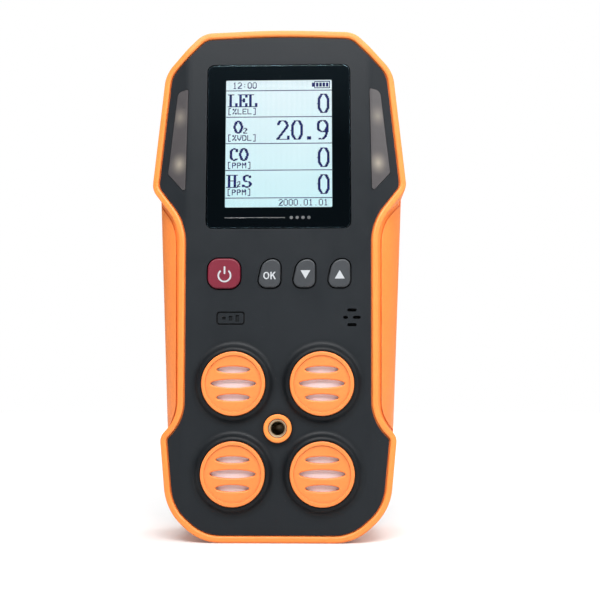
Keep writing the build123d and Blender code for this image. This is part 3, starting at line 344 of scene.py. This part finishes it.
def painted_boss_shade(surface):
    """Painted shade on the boss flanks: strongest against each sensor cap, falling to 0 at the foot of the
    boss round it.
    """
    flanks = 0.0
    for node in ("cap_o2", "cap_lel", "cap_co", "cap_h2s"):
        low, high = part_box(node)
        away = surface.add("ShaderNodeVectorMath", operation="DISTANCE")
        surface.join(surface.place, away.inputs[0])
        away.inputs[1].default_value = ((low.x + high.x) / 2, low.y, (low.z + high.z) / 2)
        near = surface.rescale(away.outputs["Value"], BOSS_TOP_MM * MM, BOSS_FOOT_MM * MM, 0.85, 0.0)
        flanks = surface.math("MAXIMUM", near, flanks)
    return flanks


def window_glass():
    """Coated clear window: a blue cast to what it reflects, and the faintest smear in its gloss."""
    surface = Surface("window_glass", Transmission_Weight=1.0, IOR=1.62, Specular_Tint=COATING_BLUE)
    surface.colour(surface.mix(surface.noise(20.0), (0.97, 0.98, 0.99), (1.0, 1.0, 1.0)))
    smear = surface.rescale(surface.noise(12.0, 6.0), 0.35, 0.75, 0.015, 0.05)
    ground_edge = surface.rescale(surface.edges(0.4), 0.0, 0.5, 0.0, 0.5)
    surface.rough(surface.math("MAXIMUM", ground_edge, smear))
    surface.bump((surface.noise(25.0, 1.0), 0.02, 0.1))
    return surface.material


def mask_print():
    surface = Surface("mask_print", Specular_IOR_Level=0.3)
    surface.colour(surface.mix(surface.noise(4.0), shade(GLASS_BLACK, 0.8), shade(GLASS_BLACK, 1.3)))
    surface.uneven_rough(surface.noise(0.5), 0.3, 0.4)
    surface.bump((surface.noise(0.08), 0.002, 0.4))
    return surface.material


def display_light():
    """The lit panel: pale blue, a little uneven, with faint upright bands."""
    surface = Surface("display_light", Base_Color=(0.1, 0.12, 0.13, 1.0), Roughness=0.35)
    _, _, foot, top = lit_area()
    split = surface.add("ShaderNodeSeparateXYZ")
    surface.join(surface.place, split.inputs["Vector"])
    height = surface.rescale(split.outputs["Z"], foot, top, 0.0, 1.0)
    glow = surface.mix(height, DISPLAY_FOOT, DISPLAY_TOP)
    glow = surface.mix(surface.rescale(surface.noise(11.0, 2.0), 0.3, 0.7, 0.0, 0.12), glow, DISPLAY_FOOT)
    faint = surface.rescale(surface.bands("X", BAND_PITCH_MM), 0.0, 1.0, 0.0, 0.16)
    glow = surface.mix(faint, glow, shade(DISPLAY_FOOT, 0.86))
    surface.join(glow, surface.shader.inputs["Emission Color"])
    surface.shader.inputs["Emission Strength"].default_value = DISPLAY_GLOW
    surface.bump((surface.noise(0.3), 0.001, 0.2))
    return surface.material


def ink(name, colour, roughness=0.45, **sockets):
    """Printed or screen ink with slightly uneven coverage."""
    surface = Surface(name, **sockets)
    patchy = surface.noise(0.5, 4.0)
    surface.colour(surface.mix(patchy, shade(colour, 0.82), shade(colour, 1.1)))
    surface.uneven_rough(surface.noise(0.9), roughness - 0.08, roughness + 0.08)
    surface.bump((surface.noise(0.12), 0.004, 0.5))
    return surface.material


def lens_plastic():
    """Frosted smoke lens. Each LED behind it shows as a soft pale spot, fainter at the top."""
    surface = Surface("lens_plastic", Coat_Weight=0.35, Coat_Roughness=0.18)
    cloud = surface.noise(5.0, 4.0)
    tint = surface.mix(cloud, shade(LENS_SMOKE, 0.85), shade(LENS_SMOKE, 1.15))
    low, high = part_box("alarm_leds")
    inset = (LED_HALF_WIDTH_MM - SPOT_OUTWARD_MM) * MM
    foot = low.z + (SPOT_RAISED_MM + LED_HALF_HEIGHT_MM) * MM
    top = high.z + (SPOT_RAISED_MM - LED_HALF_HEIGHT_MM) * MM
    for z, strength in ((foot, 1.0), (top, 0.7)):
        for x in (low.x + inset, high.x - inset):
            away = surface.add("ShaderNodeVectorMath", operation="DISTANCE")
            surface.join(surface.stretched((1.0, 0.0, 0.75)), away.inputs[0])
            away.inputs[1].default_value = (x, 0.0, 0.75 * z)
            near = surface.rescale(away.outputs["Value"], SPOT_SPREAD_MM * MM, 0.2 * MM, 0.0, strength)
            tint = surface.mix(surface.math("POWER", near, 1.8), tint, LENS_SPOT)
    surface.colour(tint)
    surface.uneven_rough(surface.noise(1.2, 4.0), 0.32, 0.46)
    surface.bump((surface.bands("Z", FLUTE_PITCH_MM), 0.03, 0.25), (surface.noise(0.2), 0.01, 0.6))
    return surface.material


def metal(name, colour, roughness, brushed=(1.0, 1.0, 1.0), scratch_mm=0.25, bare=1.0):
    """Metal with directional grain, uneven gloss and darker grime; bare falls as the metal tarnishes."""
    surface = Surface(name, Metallic=bare)
    grain = surface.noise(scratch_mm, 4.0, 0.7, surface.stretched(brushed))
    grime = surface.rescale(surface.noise(3.0, 5.0), 0.45, 0.75, 0.0, 0.45)
    tint = surface.mix(grain, shade(colour, 0.88), shade(colour, 1.1))
    surface.colour(surface.mix(grime, tint, shade(colour, 0.55)))
    surface.uneven_rough(grain, roughness - 0.08, roughness + 0.1)
    surface.bump((grain, 0.008, 0.5))
    return surface.material


def membrane():
    """Porous white film: fibrous, matt, faintly pink."""
    surface = Surface("filter_membrane", Sheen_Weight=0.3)
    fibre = surface.noise(0.5, 6.0, 0.7)
    surface.colour(surface.mix(fibre, shade(MEMBRANE, 0.86), shade(MEMBRANE, 1.14)))
    surface.uneven_rough(fibre, 0.75, 0.95)
    surface.bump((surface.noise(0.12, 4.0, 0.7), 0.03, 0.8), (surface.noise(4.0, 1.0), 0.15, 0.4))
    return surface.material


def board():
    """Green solder mask over faint copper runs."""
    surface = Surface("board_green", Coat_Weight=0.4, Coat_Roughness=0.15)
    runs = surface.add("ShaderNodeTexBrick")
    runs.inputs["Scale"].default_value = 1 / (1.2 * MM)
    surface.join(surface.place, runs.inputs["Vector"])
    tint = surface.mix(runs.outputs["Fac"], (0.010, 0.10, 0.035), (0.022, 0.17, 0.06))
    surface.colour(surface.mix(surface.noise(6.0), tint, (0.014, 0.12, 0.045)))
    surface.uneven_rough(surface.noise(2.0), 0.3, 0.45)
    surface.bump((runs.outputs["Fac"], 0.03, 0.5))
    return surface.material


def label_film():
    surface = Surface("label_film", Metallic=0.6)
    grain = surface.noise(0.2, 3.0, 0.6, surface.stretched((1.0, 1.0, 0.04)))
    surface.colour(surface.mix(grain, (0.50, 0.51, 0.52), (0.64, 0.65, 0.66)))
    surface.uneven_rough(surface.noise(6.0, 4.0), 0.3, 0.42)
    surface.bump((grain, 0.004, 0.4))
    return surface.material


def slot_materials():
    """One finished material for each material slot of the record."""
    return {
        "cover_plastic": cover_plastic(),
        "bumper_rubber": moulded("bumper_rubber", ORANGE, 0.5, 0.30, 0.012, 0.05, ORANGE_RUBBED_AND_HIGHLIT, ORANGE_CREASE_SHADE),
        "cap_plastic": moulded("cap_plastic", CAP_ORANGE, 0.46, 0.22, 0.010, 0.05, ORANGE_RUBBED_AND_HIGHLIT, CAP_CREASE_SHADE),
        "seal_rubber": moulded("seal_rubber", (0.02, 0.02, 0.022), 0.7, 0.4, 0.02),
        "screw_steel": metal("screw_steel", shade(STEEL, 0.45), 0.38, scratch_mm=0.15),
        "window_glass": window_glass(),
        "mask_print": mask_print(),
        "adhesive": moulded("adhesive", (0.03, 0.03, 0.03), 0.9, 0.5, 0.05),
        "lcd_glass": moulded("lcd_glass", (0.20, 0.23, 0.25), 0.15, 0.5, 0.002, 0.04),
        "white_plastic": moulded("white_plastic", (0.72, 0.73, 0.72), 0.5, 0.3, 0.01),
        "flex_film": moulded("flex_film", (0.45, 0.16, 0.03), 0.3, 0.6, 0.01),
        "lens_plastic": lens_plastic(),
        "led_plastic": moulded("led_plastic", (0.75, 0.68, 0.35), 0.25, 0.3, 0.003),
        "switch_plastic": moulded("switch_plastic", (0.02, 0.02, 0.022), 0.5, 0.3, 0.01),
        "board_green": board(),
        "chip_plastic": moulded("chip_plastic", (0.012, 0.012, 0.013), 0.6, 0.2, 0.01),
        "bright_steel": metal("bright_steel", (0.62, 0.62, 0.63), 0.24, scratch_mm=0.2),
        "mesh_fabric": moulded("mesh_fabric", (0.012, 0.012, 0.013), 0.85, 0.25, 0.06),
        "battery_foil": metal("battery_foil", (0.55, 0.56, 0.58), 0.42, scratch_mm=1.0),
        "dull_steel": metal("dull_steel", shade(STEEL, 0.8), 0.45, scratch_mm=0.2),
        "insert_brass": metal("insert_brass", BRASS, 0.40, brushed=(1.0, 6.0, 1.0), bare=0.6),
        "clip_steel": metal("clip_steel", STEEL, 0.36, brushed=(18.0, 1.0, 0.35), scratch_mm=0.8),
        "label_film": label_film(),
        "power_key": key_rubber("power_key", KEY_RED, (0.28, 0.04, 0.06)),
        "grey_key": key_rubber("grey_key", KEY_GREY, (0.11, 0.12, 0.13)),
        "filter_membrane": membrane(),
        "sensor_can": moulded("sensor_can", (0.62, 0.62, 0.60), 0.45, 0.4, 0.01),
    }


def dress(obj, material):
    obj.data.materials.clear()
    obj.data.materials.append(material)


# ---------------------------------------------------------------- mesh helpers
def mesh_object(name, mesh, material, body):
    obj = bpy.data.objects.new(name, mesh)
    bpy.context.scene.collection.objects.link(obj)
    dress(obj, material)
    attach(obj, body)
    return obj


def plate(name, outlines, front, thickness_mm, material, body):
    """Thin flat prints: each outline is a loop of (x, z) in metres, given a little thickness."""
    mesh = bpy.data.meshes.new(name)
    shape = bmesh.new()
    for outline in outlines:
        near = [shape.verts.new((x, front, z)) for x, z in outline]
        far = [shape.verts.new((x, front + thickness_mm * MM, z)) for x, z in outline]
        shape.faces.new(near)
        shape.faces.new(list(reversed(far)))
        count = len(outline)
        for i in range(count):
            j = (i + 1) % count
            shape.faces.new((near[j], near[i], far[i], far[j]))
    bmesh.ops.recalc_face_normals(shape, faces=shape.faces)
    shape.to_mesh(mesh)
    shape.free()
    return mesh_object(name, mesh, material, body)


def arc_points(x, z, radius, start_deg, end_deg, steps=40):
    angles = [math.radians(start_deg + (end_deg - start_deg) * i / steps) for i in range(steps + 1)]
    return [(x + radius * math.cos(a), z + radius * math.sin(a)) for a in angles]


def band(x, z, outer, inner, start_deg, end_deg):
    """A closed outline of part of a ring."""
    inside = arc_points(x, z, inner, end_deg, start_deg)
    return arc_points(x, z, outer, start_deg, end_deg) + inside


def bar(x0, z0, x1, z1):
    return [(x0, z0), (x1, z0), (x1, z1), (x0, z1)]


def rounded_bar(x, z, half_x, half_z, radius):
    corners = [(half_x - radius, half_z - radius, 0), (radius - half_x, half_z - radius, 90)]
    corners += [(radius - half_x, radius - half_z, 180), (half_x - radius, radius - half_z, 270)]
    outline = []
    for dx, dz, start in corners:
        outline += arc_points(x + dx, z + dz, radius, start, start + 90, 6)
    return outline


# ---------------------------------------------------------------- display content
# Small signs on a 5 by 7 grid: each is a list of strokes through dot positions.
SMALL_SIGNS = {
    "0": [[(1, 0), (3, 0), (4, 1), (4, 5), (3, 6), (1, 6), (0, 5), (0, 1), (1, 0)]],
    "1": [[(1, 1), (2, 0), (2, 6)], [(1, 6), (3, 6)]],
    "2": [[(0, 1), (1, 0), (3, 0), (4, 1), (4, 2), (0, 6), (4, 6)]],
    ":": [[(2, 2), (2, 2)], [(2, 4), (2, 4)]],
    ".": [[(2, 6), (2, 6)]],
    "[": [[(3, -1), (1, -1), (1, 7), (3, 7)]],
    "]": [[(1, -1), (3, -1), (3, 7), (1, 7)]],
    "%": [
        [(0, 0), (1, 0), (1, 1), (0, 1), (0, 0)],
        [(4, 0), (0, 6)],
        [(3, 5), (4, 5), (4, 6), (3, 6), (3, 5)],
    ],
    "L": [[(0, 0), (0, 6), (4, 6)]],
    "E": [[(4, 0), (0, 0), (0, 6), (4, 6)], [(0, 3), (3, 3)]],
    "P": [[(0, 6), (0, 0), (3, 0), (4, 1), (4, 2), (3, 3), (0, 3)]],
    "M": [[(0, 6), (0, 0), (2, 3), (4, 0), (4, 6)]],
    "V": [[(0, 0), (0, 3), (2, 6), (4, 3), (4, 0)]],
    "O": [[(1, 0), (3, 0), (4, 1), (4, 5), (3, 6), (1, 6), (0, 5), (0, 1), (1, 0)]],
}


def oval(x, y, half_x, half_y, start_deg=0, end_deg=360):
    """Points along an ellipse; y runs down the display, and degrees turn clockwise from the right."""
    return [(x + half_x * px, y + half_y * py) for px, py in arc_points(0, 0, 1, start_deg, end_deg, 48)]


# Large signs in a unit square, x to the right and y down, as strokes of a broad pen.
LARGE_SIGNS = {
    "0": [oval(0.5, 0.5, 0.40, 0.47)],
    "2": [oval(0.48, 0.27, 0.36, 0.25, 190, 380) + [(0.08, 0.95), (0.90, 0.95), (0.95, 0.80)]],
    "9": [oval(0.48, 0.31, 0.38, 0.28), oval(0.40, 0.36, 0.47, 0.60, -5, 110)],
    "L": [
        [(0.28, 0.03), (0.28, 0.97)],
        [(0.06, 0.03), (0.52, 0.03)],
        [(0.06, 0.97), (0.92, 0.97), (0.95, 0.76)],
    ],
    "E": [
        [(0.28, 0.03), (0.28, 0.97)],
        [(0.06, 0.03), (0.90, 0.03), (0.92, 0.22)],
        [(0.28, 0.49), (0.66, 0.49), (0.66, 0.36), (0.66, 0.62)],
        [(0.06, 0.97), (0.90, 0.97), (0.94, 0.76)],
    ],
    "C": [oval(0.54, 0.5, 0.40, 0.47, 50, 312), [(0.86, 0.04), (0.86, 0.28)]],
    "O": [oval(0.5, 0.5, 0.38, 0.47)],
    "H": [
        [(0.20, 0.03), (0.20, 0.97)],
        [(0.80, 0.03), (0.80, 0.97)],
        [(0.20, 0.50), (0.80, 0.50)],
        [(0.04, 0.03), (0.36, 0.03)],
        [(0.64, 0.03), (0.96, 0.03)],
        [(0.04, 0.97), (0.36, 0.97)],
        [(0.64, 0.97), (0.96, 0.97)],
    ],
    "S": [
        oval(0.5, 0.27, 0.36, 0.24, 335, 90),
        oval(0.5, 0.74, 0.38, 0.23, -90, 155),
        [(0.84, 0.05), (0.84, 0.22)],
        [(0.12, 0.78), (0.12, 0.96)],
    ],
}


class DotDisplay:
    """The display's dots. Strokes are drawn onto them, and runs of dark dots become the ink mesh."""

    def __init__(self):
        self.dark = set()

    def stamp(self, column, row, pen_wide, pen_high):
        first_column, first_row = round(column - (pen_wide - 1) / 2), round(row - (pen_high - 1) / 2)
        for dy in range(pen_high):
            for dx in range(pen_wide):
                self.dark.add((first_column + dx, first_row + dy))

    def stroke(self, points, pen_wide=1, pen_high=1):
        for (x0, y0), (x1, y1) in zip(points, points[1:]):
            steps = max(1, round(4 * max(abs(x1 - x0), abs(y1 - y0))))
            for i in range(steps + 1):
                share = i / steps
                self.stamp(x0 + (x1 - x0) * share, y0 + (y1 - y0) * share, pen_wide, pen_high)

    def small(self, column, row, words, pitch=6, squeeze=1.0, stretch=1.0):
        for place, sign in enumerate(words):
            for points in SMALL_SIGNS.get(sign, []):
                moved = [(column + place * pitch + x * squeeze, row + y * stretch) for x, y in points]
                self.stroke(moved)

    def large(self, sign, column, row, wide, high, pen_wide, pen_high=1):
        for points in LARGE_SIGNS[sign]:
            placed = [(column + x * (wide - 1), row + y * (high - 1)) for x, y in points]
            self.stroke(placed, pen_wide, pen_high)

    def runs(self):
        """(row, first column, last column) of each unbroken run of dark dots."""
        found = []
        for row in range(ROWS):
            columns = sorted(c for c, r in self.dark if r == row and 0 <= c < COLUMNS)
            while columns:
                last = columns[0]
                while last + 1 in columns:
                    last += 1
                found.append((row, columns[0], last))
                columns = [c for c in columns if c > last]
        return found


# Sizes in dots of the large signs, in a gas name and in a reading
NAME_SIZE = {"wide": 12, "high": 16, "pen_wide": 3}
READING_SIZE = {"wide": 16, "high": 26, "pen_wide": 3}


def draw_readings(dots):
    """Clock and battery, four gas rows with names, units and readings, and a date."""
    dots.small(8, 2, "12:00", stretch=1.15)
    dots.stroke([(107, 1), (125, 1), (125, 9), (107, 9), (107, 1)])
    dots.stroke([(105, 3), (105, 7)], 3, 1)
    for cell in range(4):
        dots.stroke([(110 + 4 * cell, 3), (110 + 4 * cell, 7)], 3, 1)
    for row in (12, 45, 78, 111, 145):
        dots.stroke([(0, row), (COLUMNS - 1, row)])
    for place, sign in enumerate("LEL"):
        dots.large(sign, 2 + 12 * place, 17, **NAME_SIZE)
    dots.large("O", 9, 50, **NAME_SIZE)
    dots.small(21, 59, "2", squeeze=0.9)
    dots.large("C", 4, 84, **NAME_SIZE)
    dots.large("O", 16, 84, **NAME_SIZE)
    dots.large("H", 1, 117, **{**NAME_SIZE, "wide": 14})
    dots.small(14, 125, "2", squeeze=0.8)
    dots.large("S", 20, 117, **NAME_SIZE)
    for row, unit in ((35, "[%LEL]"), (68, "[%VOL]"), (102, "[PPM]"), (135, "[PPM]")):
        dots.small(2, row, unit, squeeze=0.9)
    for row in (16, 83, 116):
        dots.large("0", 110, row, **READING_SIZE)
    dots.large("2", 61, 49, **READING_SIZE)
    dots.large("0", 78, 49, **READING_SIZE)
    dots.stroke([(99, 71.5), (101, 71.5)], 3, 4)
    dots.large("9", 109, 49, **READING_SIZE)
    dots.small(64, 147, "2000.01.01", stretch=1.2)


def lit_area():
    """x and z limits of the lit area, from the mask: its opening is centred in the display's width."""
    low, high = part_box("window_mask")
    middle = (low.x + high.x) / 2
    half = COLUMNS * PIXEL_MM * MM / 2
    top = high.z - MASK_TOP_MM * MM
    return middle - half, middle + half, top - ROWS * PIXEL_MM * MM, top


def display_content(light, ink_material):
    left, right, foot, top = lit_area()
    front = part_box("window_mask")[1].y + PANEL_BEHIND_MM * MM
    margin = PANEL_MARGIN_MM * MM
    half_x, half_z = (right - left) / 2 + margin, (top - foot) / 2 + margin
    corner = PANEL_CORNER_MM * MM
    outline = rounded_bar((left + right) / 2, (foot + top) / 2, half_x, half_z, corner)
    plate("display_panel", [outline], front, PANEL_THICK_MM, light, "housing")
    dots = DotDisplay()
    draw_readings(dots)
    pitch = PIXEL_MM * MM
    bars = [
        bar(left + first * pitch, top - (row + 1) * pitch, left + (last + 1) * pitch, top - row * pitch)
        for row, first, last in dots.runs()
    ]
    ahead = front - INK_AHEAD_MM * MM
    plate("display_readings", bars, ahead, INK_THICK_MM, ink_material, "housing")


def window_trim(material):
    """A plain printed rule and four dots under the display, in place of wording."""
    low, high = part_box("display_window")
    z = low.z + RULE_RAISED_MM * MM
    left = low.x + RULE_START_MM * MM
    half = RULE_HALF_MM * MM
    outlines = [bar(left, z - half, left + RULE_LENGTH_MM * MM, z + half)]
    for step in range(RULE_DOTS):
        x = left + (RULE_DOT_START_MM + RULE_DOT_STEP_MM * step) * MM
        outlines.append(arc_points(x, z, RULE_DOT_MM * MM, 0, 345, 23))
    front = high.y - INK_AHEAD_MM * MM
    plate("window_rule", outlines, front, RULE_THICK_MM, material, "housing")


# ---------------------------------------------------------------- key prints
def print_place(node):
    """Middle of a key's print in x and z, and the y just in front of the key's face."""
    low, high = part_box(node)
    right_mm, down_mm = PRINT_SHIFT_MM[node]
    x = (low.x + high.x) / 2 + right_mm * MM
    z = (low.z + high.z) / 2 - down_mm * MM
    return x, z, low.y - PRINT_AHEAD_MM * MM


def power_print(material):
    """An open ring with a stem in its gap."""
    x, z, front = print_place("power_button")
    outer, inner = POWER_RING_MM * MM, POWER_RING_INSIDE_MM * MM
    ring = band(x, z, outer, inner, 90 + POWER_GAP_HALF, 450 - POWER_GAP_HALF)
    half_wide, half_high = POWER_STEM_MM
    stem = rounded_bar(x, z + inner, half_wide * MM, half_high * MM, 0.15 * MM)
    plate("power_print", [ring, stem], front, PRINT_THICK_MM, material, "power_key")


def triangle(x, z, half, height, point_up):
    rise = height / 2 if point_up else -height / 2
    return [(x - half, z - rise), (x + half, z - rise), (x, z + rise)]


def arrow_prints(material):
    for name, up in (("down", False), ("up", True)):
        x, z, front = print_place(f"{name}_button")
        shape = triangle(x, z, ARROW_HALF_MM * MM, ARROW_HIGH_MM * MM, up)
        plate(f"{name}_key_print", [shape], front, PRINT_THICK_MM, material, f"{name}_key")


def ok_print(material):
    """The two letters, built from bands and bars."""
    x, z, front = print_place("ok_button")
    high, thick = LETTER_HALF_HIGH_MM * MM, LETTER_STROKE_MM * MM
    left, half = x - 0.80 * MM, 0.78 * MM
    inner_half, inner_high = half - thick, high - thick * 0.9
    turns = circle_angles(LETTER_STEPS)
    outer = [(left + half * math.cos(a), z + high * math.sin(a)) for a in turns]
    inner = [(left + inner_half * math.cos(a), z + inner_high * math.sin(a)) for a in turns]
    half_way = LETTER_STEPS // 2
    halves = [
        outer[: half_way + 1] + list(reversed(inner[: half_way + 1])),
        outer[half_way:] + [outer[0], inner[0]] + list(reversed(inner[half_way:])),
    ]
    stem = x + 0.22 * MM
    letter_k = [
        (stem, z - high),
        (stem + thick, z - high),
        (stem + thick, z - 0.30 * MM),
        (stem + 0.56 * MM, z - 0.05 * MM),
        (stem + 1.00 * MM, z - high),
        (stem + 1.42 * MM, z - high),
        (stem + 0.80 * MM, z + 0.22 * MM),
        (stem + 1.38 * MM, z + high),
        (stem + 0.94 * MM, z + high),
        (stem + thick, z + 0.20 * MM),
        (stem + thick, z + high),
        (stem, z + high),
    ]
    plate("ok_print", halves + [letter_k], front, PRINT_THICK_MM, material, "ok_key")


def circle_angles(count):
    return [2 * math.pi * i / count for i in range(count)]


# ---------------------------------------------------------------- threaded insert
def insert_section(angle, length_mm, outer_mm):
    """The wall's half section at an angle, as (radius, distance from the mouth) in mm.

    It runs from the edge of the bore's floor out through the mouth and round to the edge of the
    far end.
    """
    steps = round(THREAD_DEEP_MM / THREAD_PITCH_MM * STEPS_PER_PITCH)
    section = []
    for i in range(steps, 1, -1):
        along = THREAD_DEEP_MM * i / steps
        phase = (along / THREAD_PITCH_MM - angle / (2 * math.pi)) % 1.0
        depth = 1 - abs(2 * phase - 1)
        section.append((THREAD_CREST_MM + (THREAD_ROOT_MM - THREAD_CREST_MM) * depth, along))
    rim_across, rim_along = RIM_BEVEL_MM
    section.append((THREAD_ROOT_MM + MOUTH_FLARE_MM, 0.0))
    section.append((outer_mm - rim_across, 0.0))
    section.append((outer_mm, rim_along))
    section.append((outer_mm, length_mm))
    return section


def threaded_insert(material):
    """The brass insert with a real helical thread, in place of the plain CAD bore."""
    low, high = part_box("threaded_insert")
    x, z = (low.x + high.x) / 2, (low.z + high.z) / 2
    outer_mm = (high.x - low.x) / 2 / MM
    length_mm = (high.y - low.y) / MM
    shape = bmesh.new()
    loops = []
    for angle in circle_angles(TURN_STEPS):
        section = insert_section(angle, length_mm, outer_mm)
        points = []
        for radius, along in section:
            reach = radius * MM
            point = (x + reach * math.cos(angle), low.y + along * MM, z + reach * math.sin(angle))
            points.append(point)
        loops.append([shape.verts.new(point) for point in points])
    for i, loop in enumerate(loops):
        following = loops[(i + 1) % len(loops)]
        for k in range(len(loop) - 1):
            shape.faces.new((loop[k], loop[k + 1], following[k + 1], following[k]))
    for ends, along_mm in ((0, THREAD_DEEP_MM + THREAD_END_CONE_MM), (-1, length_mm)):
        tip = shape.verts.new((x, low.y + along_mm * MM, z))
        for i, loop in enumerate(loops):
            shape.faces.new((loop[ends], loops[(i + 1) % len(loops)][ends], tip))
    bmesh.ops.recalc_face_normals(shape, faces=shape.faces)
    mesh = bpy.data.meshes.new("insert_thread")
    shape.to_mesh(mesh)
    shape.free()
    mesh.shade_smooth()
    piece = mesh_object("insert_thread", mesh, material, "housing")
    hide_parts("threaded_insert")


# ---------------------------------------------------------------- rating label
def label_print(material):
    """A ruled frame with plain bars, stripes and rings, laid out to be read from behind: no words."""
    low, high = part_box("rating_label")
    inset, line = LABEL_INSET_MM * MM, LABEL_LINE_MM * MM
    left, right, foot, top = low.x + inset, high.x - inset, low.z + inset, high.z - inset
    outlines = [
        bar(left, top - line, right, top),
        bar(left, foot, right, foot + line),
        bar(left, foot + line, left + line, top - line),
        bar(right - line, foot + line, right, top - line),
    ]
    for i, length in enumerate(LABEL_BARS_MM):
        z = top - (LABEL_FIRST_BAR_MM + LABEL_BAR_STEP_MM * i) * MM
        middle = right - (2.0 + length / 2) * MM
        outlines.append(rounded_bar(middle, z, length / 2 * MM, LABEL_BAR_HALF_MM * MM, 0.2 * MM))
    stripe_foot, stripe_top = foot + LABEL_STRIPE_FOOT_MM * MM, foot + LABEL_STRIPE_TOP_MM * MM
    for i, width in enumerate(LABEL_STRIPES_MM):
        x = right - (2.2 + LABEL_STRIPE_STEP_MM * i) * MM
        outlines.append(bar(x - width * MM, stripe_foot, x, stripe_top))
    for z in (top - 5.0 * MM, foot + 4.0 * MM):
        outlines.append(band(left + 4.2 * MM, z, LABEL_RING_MM * MM, (LABEL_RING_MM - 0.3) * MM, 0, 355))
    sunk = high.y - 0.01 * MM
    plate("label_print", outlines, sunk, PRINT_THICK_MM, material, "housing")


# ---------------------------------------------------------------- stage, lights, camera
def floor():
    mesh = bpy.data.meshes.new("floor")
    shape = bmesh.new()
    rim = []
    for a in circle_angles(FLOOR_SIDES):
        rim.append(shape.verts.new((FLOOR_RADIUS * math.cos(a), FLOOR_RADIUS * math.sin(a), 0.0)))
    shape.faces.new(rim)
    shape.to_mesh(mesh)
    shape.free()
    surface = Surface("floor_paper", Specular_IOR_Level=0.2, Emission_Color=(1.0, 1.0, 1.0, 1.0))
    surface.colour(surface.mix(surface.noise(60.0), PAPER_DARK, PAPER_PALE))
    away = surface.add("ShaderNodeVectorMath", operation="LENGTH")
    surface.join(surface.place, away.inputs[0])
    glow = surface.rescale(away.outputs["Value"], GLOW_STARTS, GLOW_FULL, NEAR_FLOOR_GLOW, FAR_FLOOR_GLOW)
    surface.join(glow, surface.shader.inputs["Emission Strength"])
    surface.uneven_rough(surface.noise(20.0), 0.8, 0.95)
    surface.bump((surface.noise(0.8), 0.02, 0.3))
    obj = bpy.data.objects.new("floor", mesh)
    bpy.context.scene.collection.objects.link(obj)
    dress(obj, surface.material)


def sky():
    """A studio: bright overhead, dim all round, and a white backdrop for the camera."""
    world = bpy.data.worlds.new("room")
    bpy.context.scene.world = world
    world.use_nodes = True
    tree = world.node_tree
    background = next(n for n in tree.nodes if n.type == "BACKGROUND")
    output = next(n for n in tree.nodes if n.type == "OUTPUT_WORLD")
    place = tree.nodes.new("ShaderNodeTexCoord")
    split = tree.nodes.new("ShaderNodeSeparateXYZ")
    ramp = tree.nodes.new("ShaderNodeValToRGB")
    backdrop = tree.nodes.new("ShaderNodeBackground")
    seen = tree.nodes.new("ShaderNodeLightPath")
    choose = tree.nodes.new("ShaderNodeMixShader")
    tree.links.new(place.outputs["Generated"], split.inputs["Vector"])
    tree.links.new(split.outputs["Z"], ramp.inputs["Fac"])
    stops = ramp.color_ramp.elements
    for stop, position, colour in zip(stops, SKY_RAMP, (SKY_DARK, SKY_BRIGHT)):
        stop.position = position
        stop.color = colour
    tree.links.new(ramp.outputs["Color"], background.inputs["Color"])
    background.inputs["Strength"].default_value = SKY_STRENGTH
    backdrop.inputs["Color"].default_value = BACKDROP
    tree.links.new(seen.outputs["Is Camera Ray"], choose.inputs["Fac"])
    tree.links.new(background.outputs["Background"], choose.inputs[1])
    tree.links.new(backdrop.outputs["Background"], choose.inputs[2])
    tree.links.new(choose.outputs["Shader"], output.inputs["Surface"])


def softbox(name, place, aim, width, height, watts):
    light = bpy.data.lights.new(name, "AREA")
    light.shape = "RECTANGLE"
    light.size, light.size_y = width, height
    light.energy = watts
    obj = bpy.data.objects.new(name, light)
    bpy.context.scene.collection.objects.link(obj)
    obj.location = place
    obj.rotation_euler = (Vector(aim) - Vector(place)).to_track_quat("-Z", "Y").to_euler()


def camera():
    data = bpy.data.cameras.new("camera")
    data.lens = CAMERA_LENS_MM
    data.sensor_width = CAMERA_SENSOR_MM
    data.clip_start, data.clip_end = CAMERA_CLIP
    obj = bpy.data.objects.new("camera", data)
    bpy.context.scene.collection.objects.link(obj)
    azimuth, elevation = math.radians(CAMERA_AZIMUTH), math.radians(CAMERA_ELEVATION)
    level = math.cos(elevation)
    back = Vector((math.sin(azimuth) * level, -math.cos(azimuth) * level, math.sin(elevation)))
    panel_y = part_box("display_window")[0].y
    aim = Vector((CAMERA_AIM_MM[0] * MM, panel_y, CAMERA_AIM_MM[1] * MM))
    obj.location = aim + back * CAMERA_DISTANCE_MM * MM
    obj.rotation_euler = (-back).to_track_quat("-Z", "Y").to_euler()
    bpy.context.scene.camera = obj


# ---------------------------------------------------------------- build
SLOTS = slot_materials()
for entry in frame["record"]["subparts"]:
    dress(frame["nodes"][entry["node"]], SLOTS[entry["material_slot"]])

WHITE_PRINT = ink("white_print", PRINT_WHITE)
display_content(display_light(), ink("display_ink", DISPLAY_INK, 0.35, Specular_IOR_Level=0.08))
window_trim(ink("grey_print", (0.30, 0.31, 0.33)))
power_print(WHITE_PRINT)
arrow_prints(WHITE_PRINT)
ok_print(WHITE_PRINT)
threaded_insert(SLOTS["insert_brass"])
label_print(ink("black_print", (0.02, 0.02, 0.022)))

floor()
sky()
for light in LIGHTS:
    softbox(*light)
camera()
bpy.context.scene.view_settings.view_transform = "Standard"
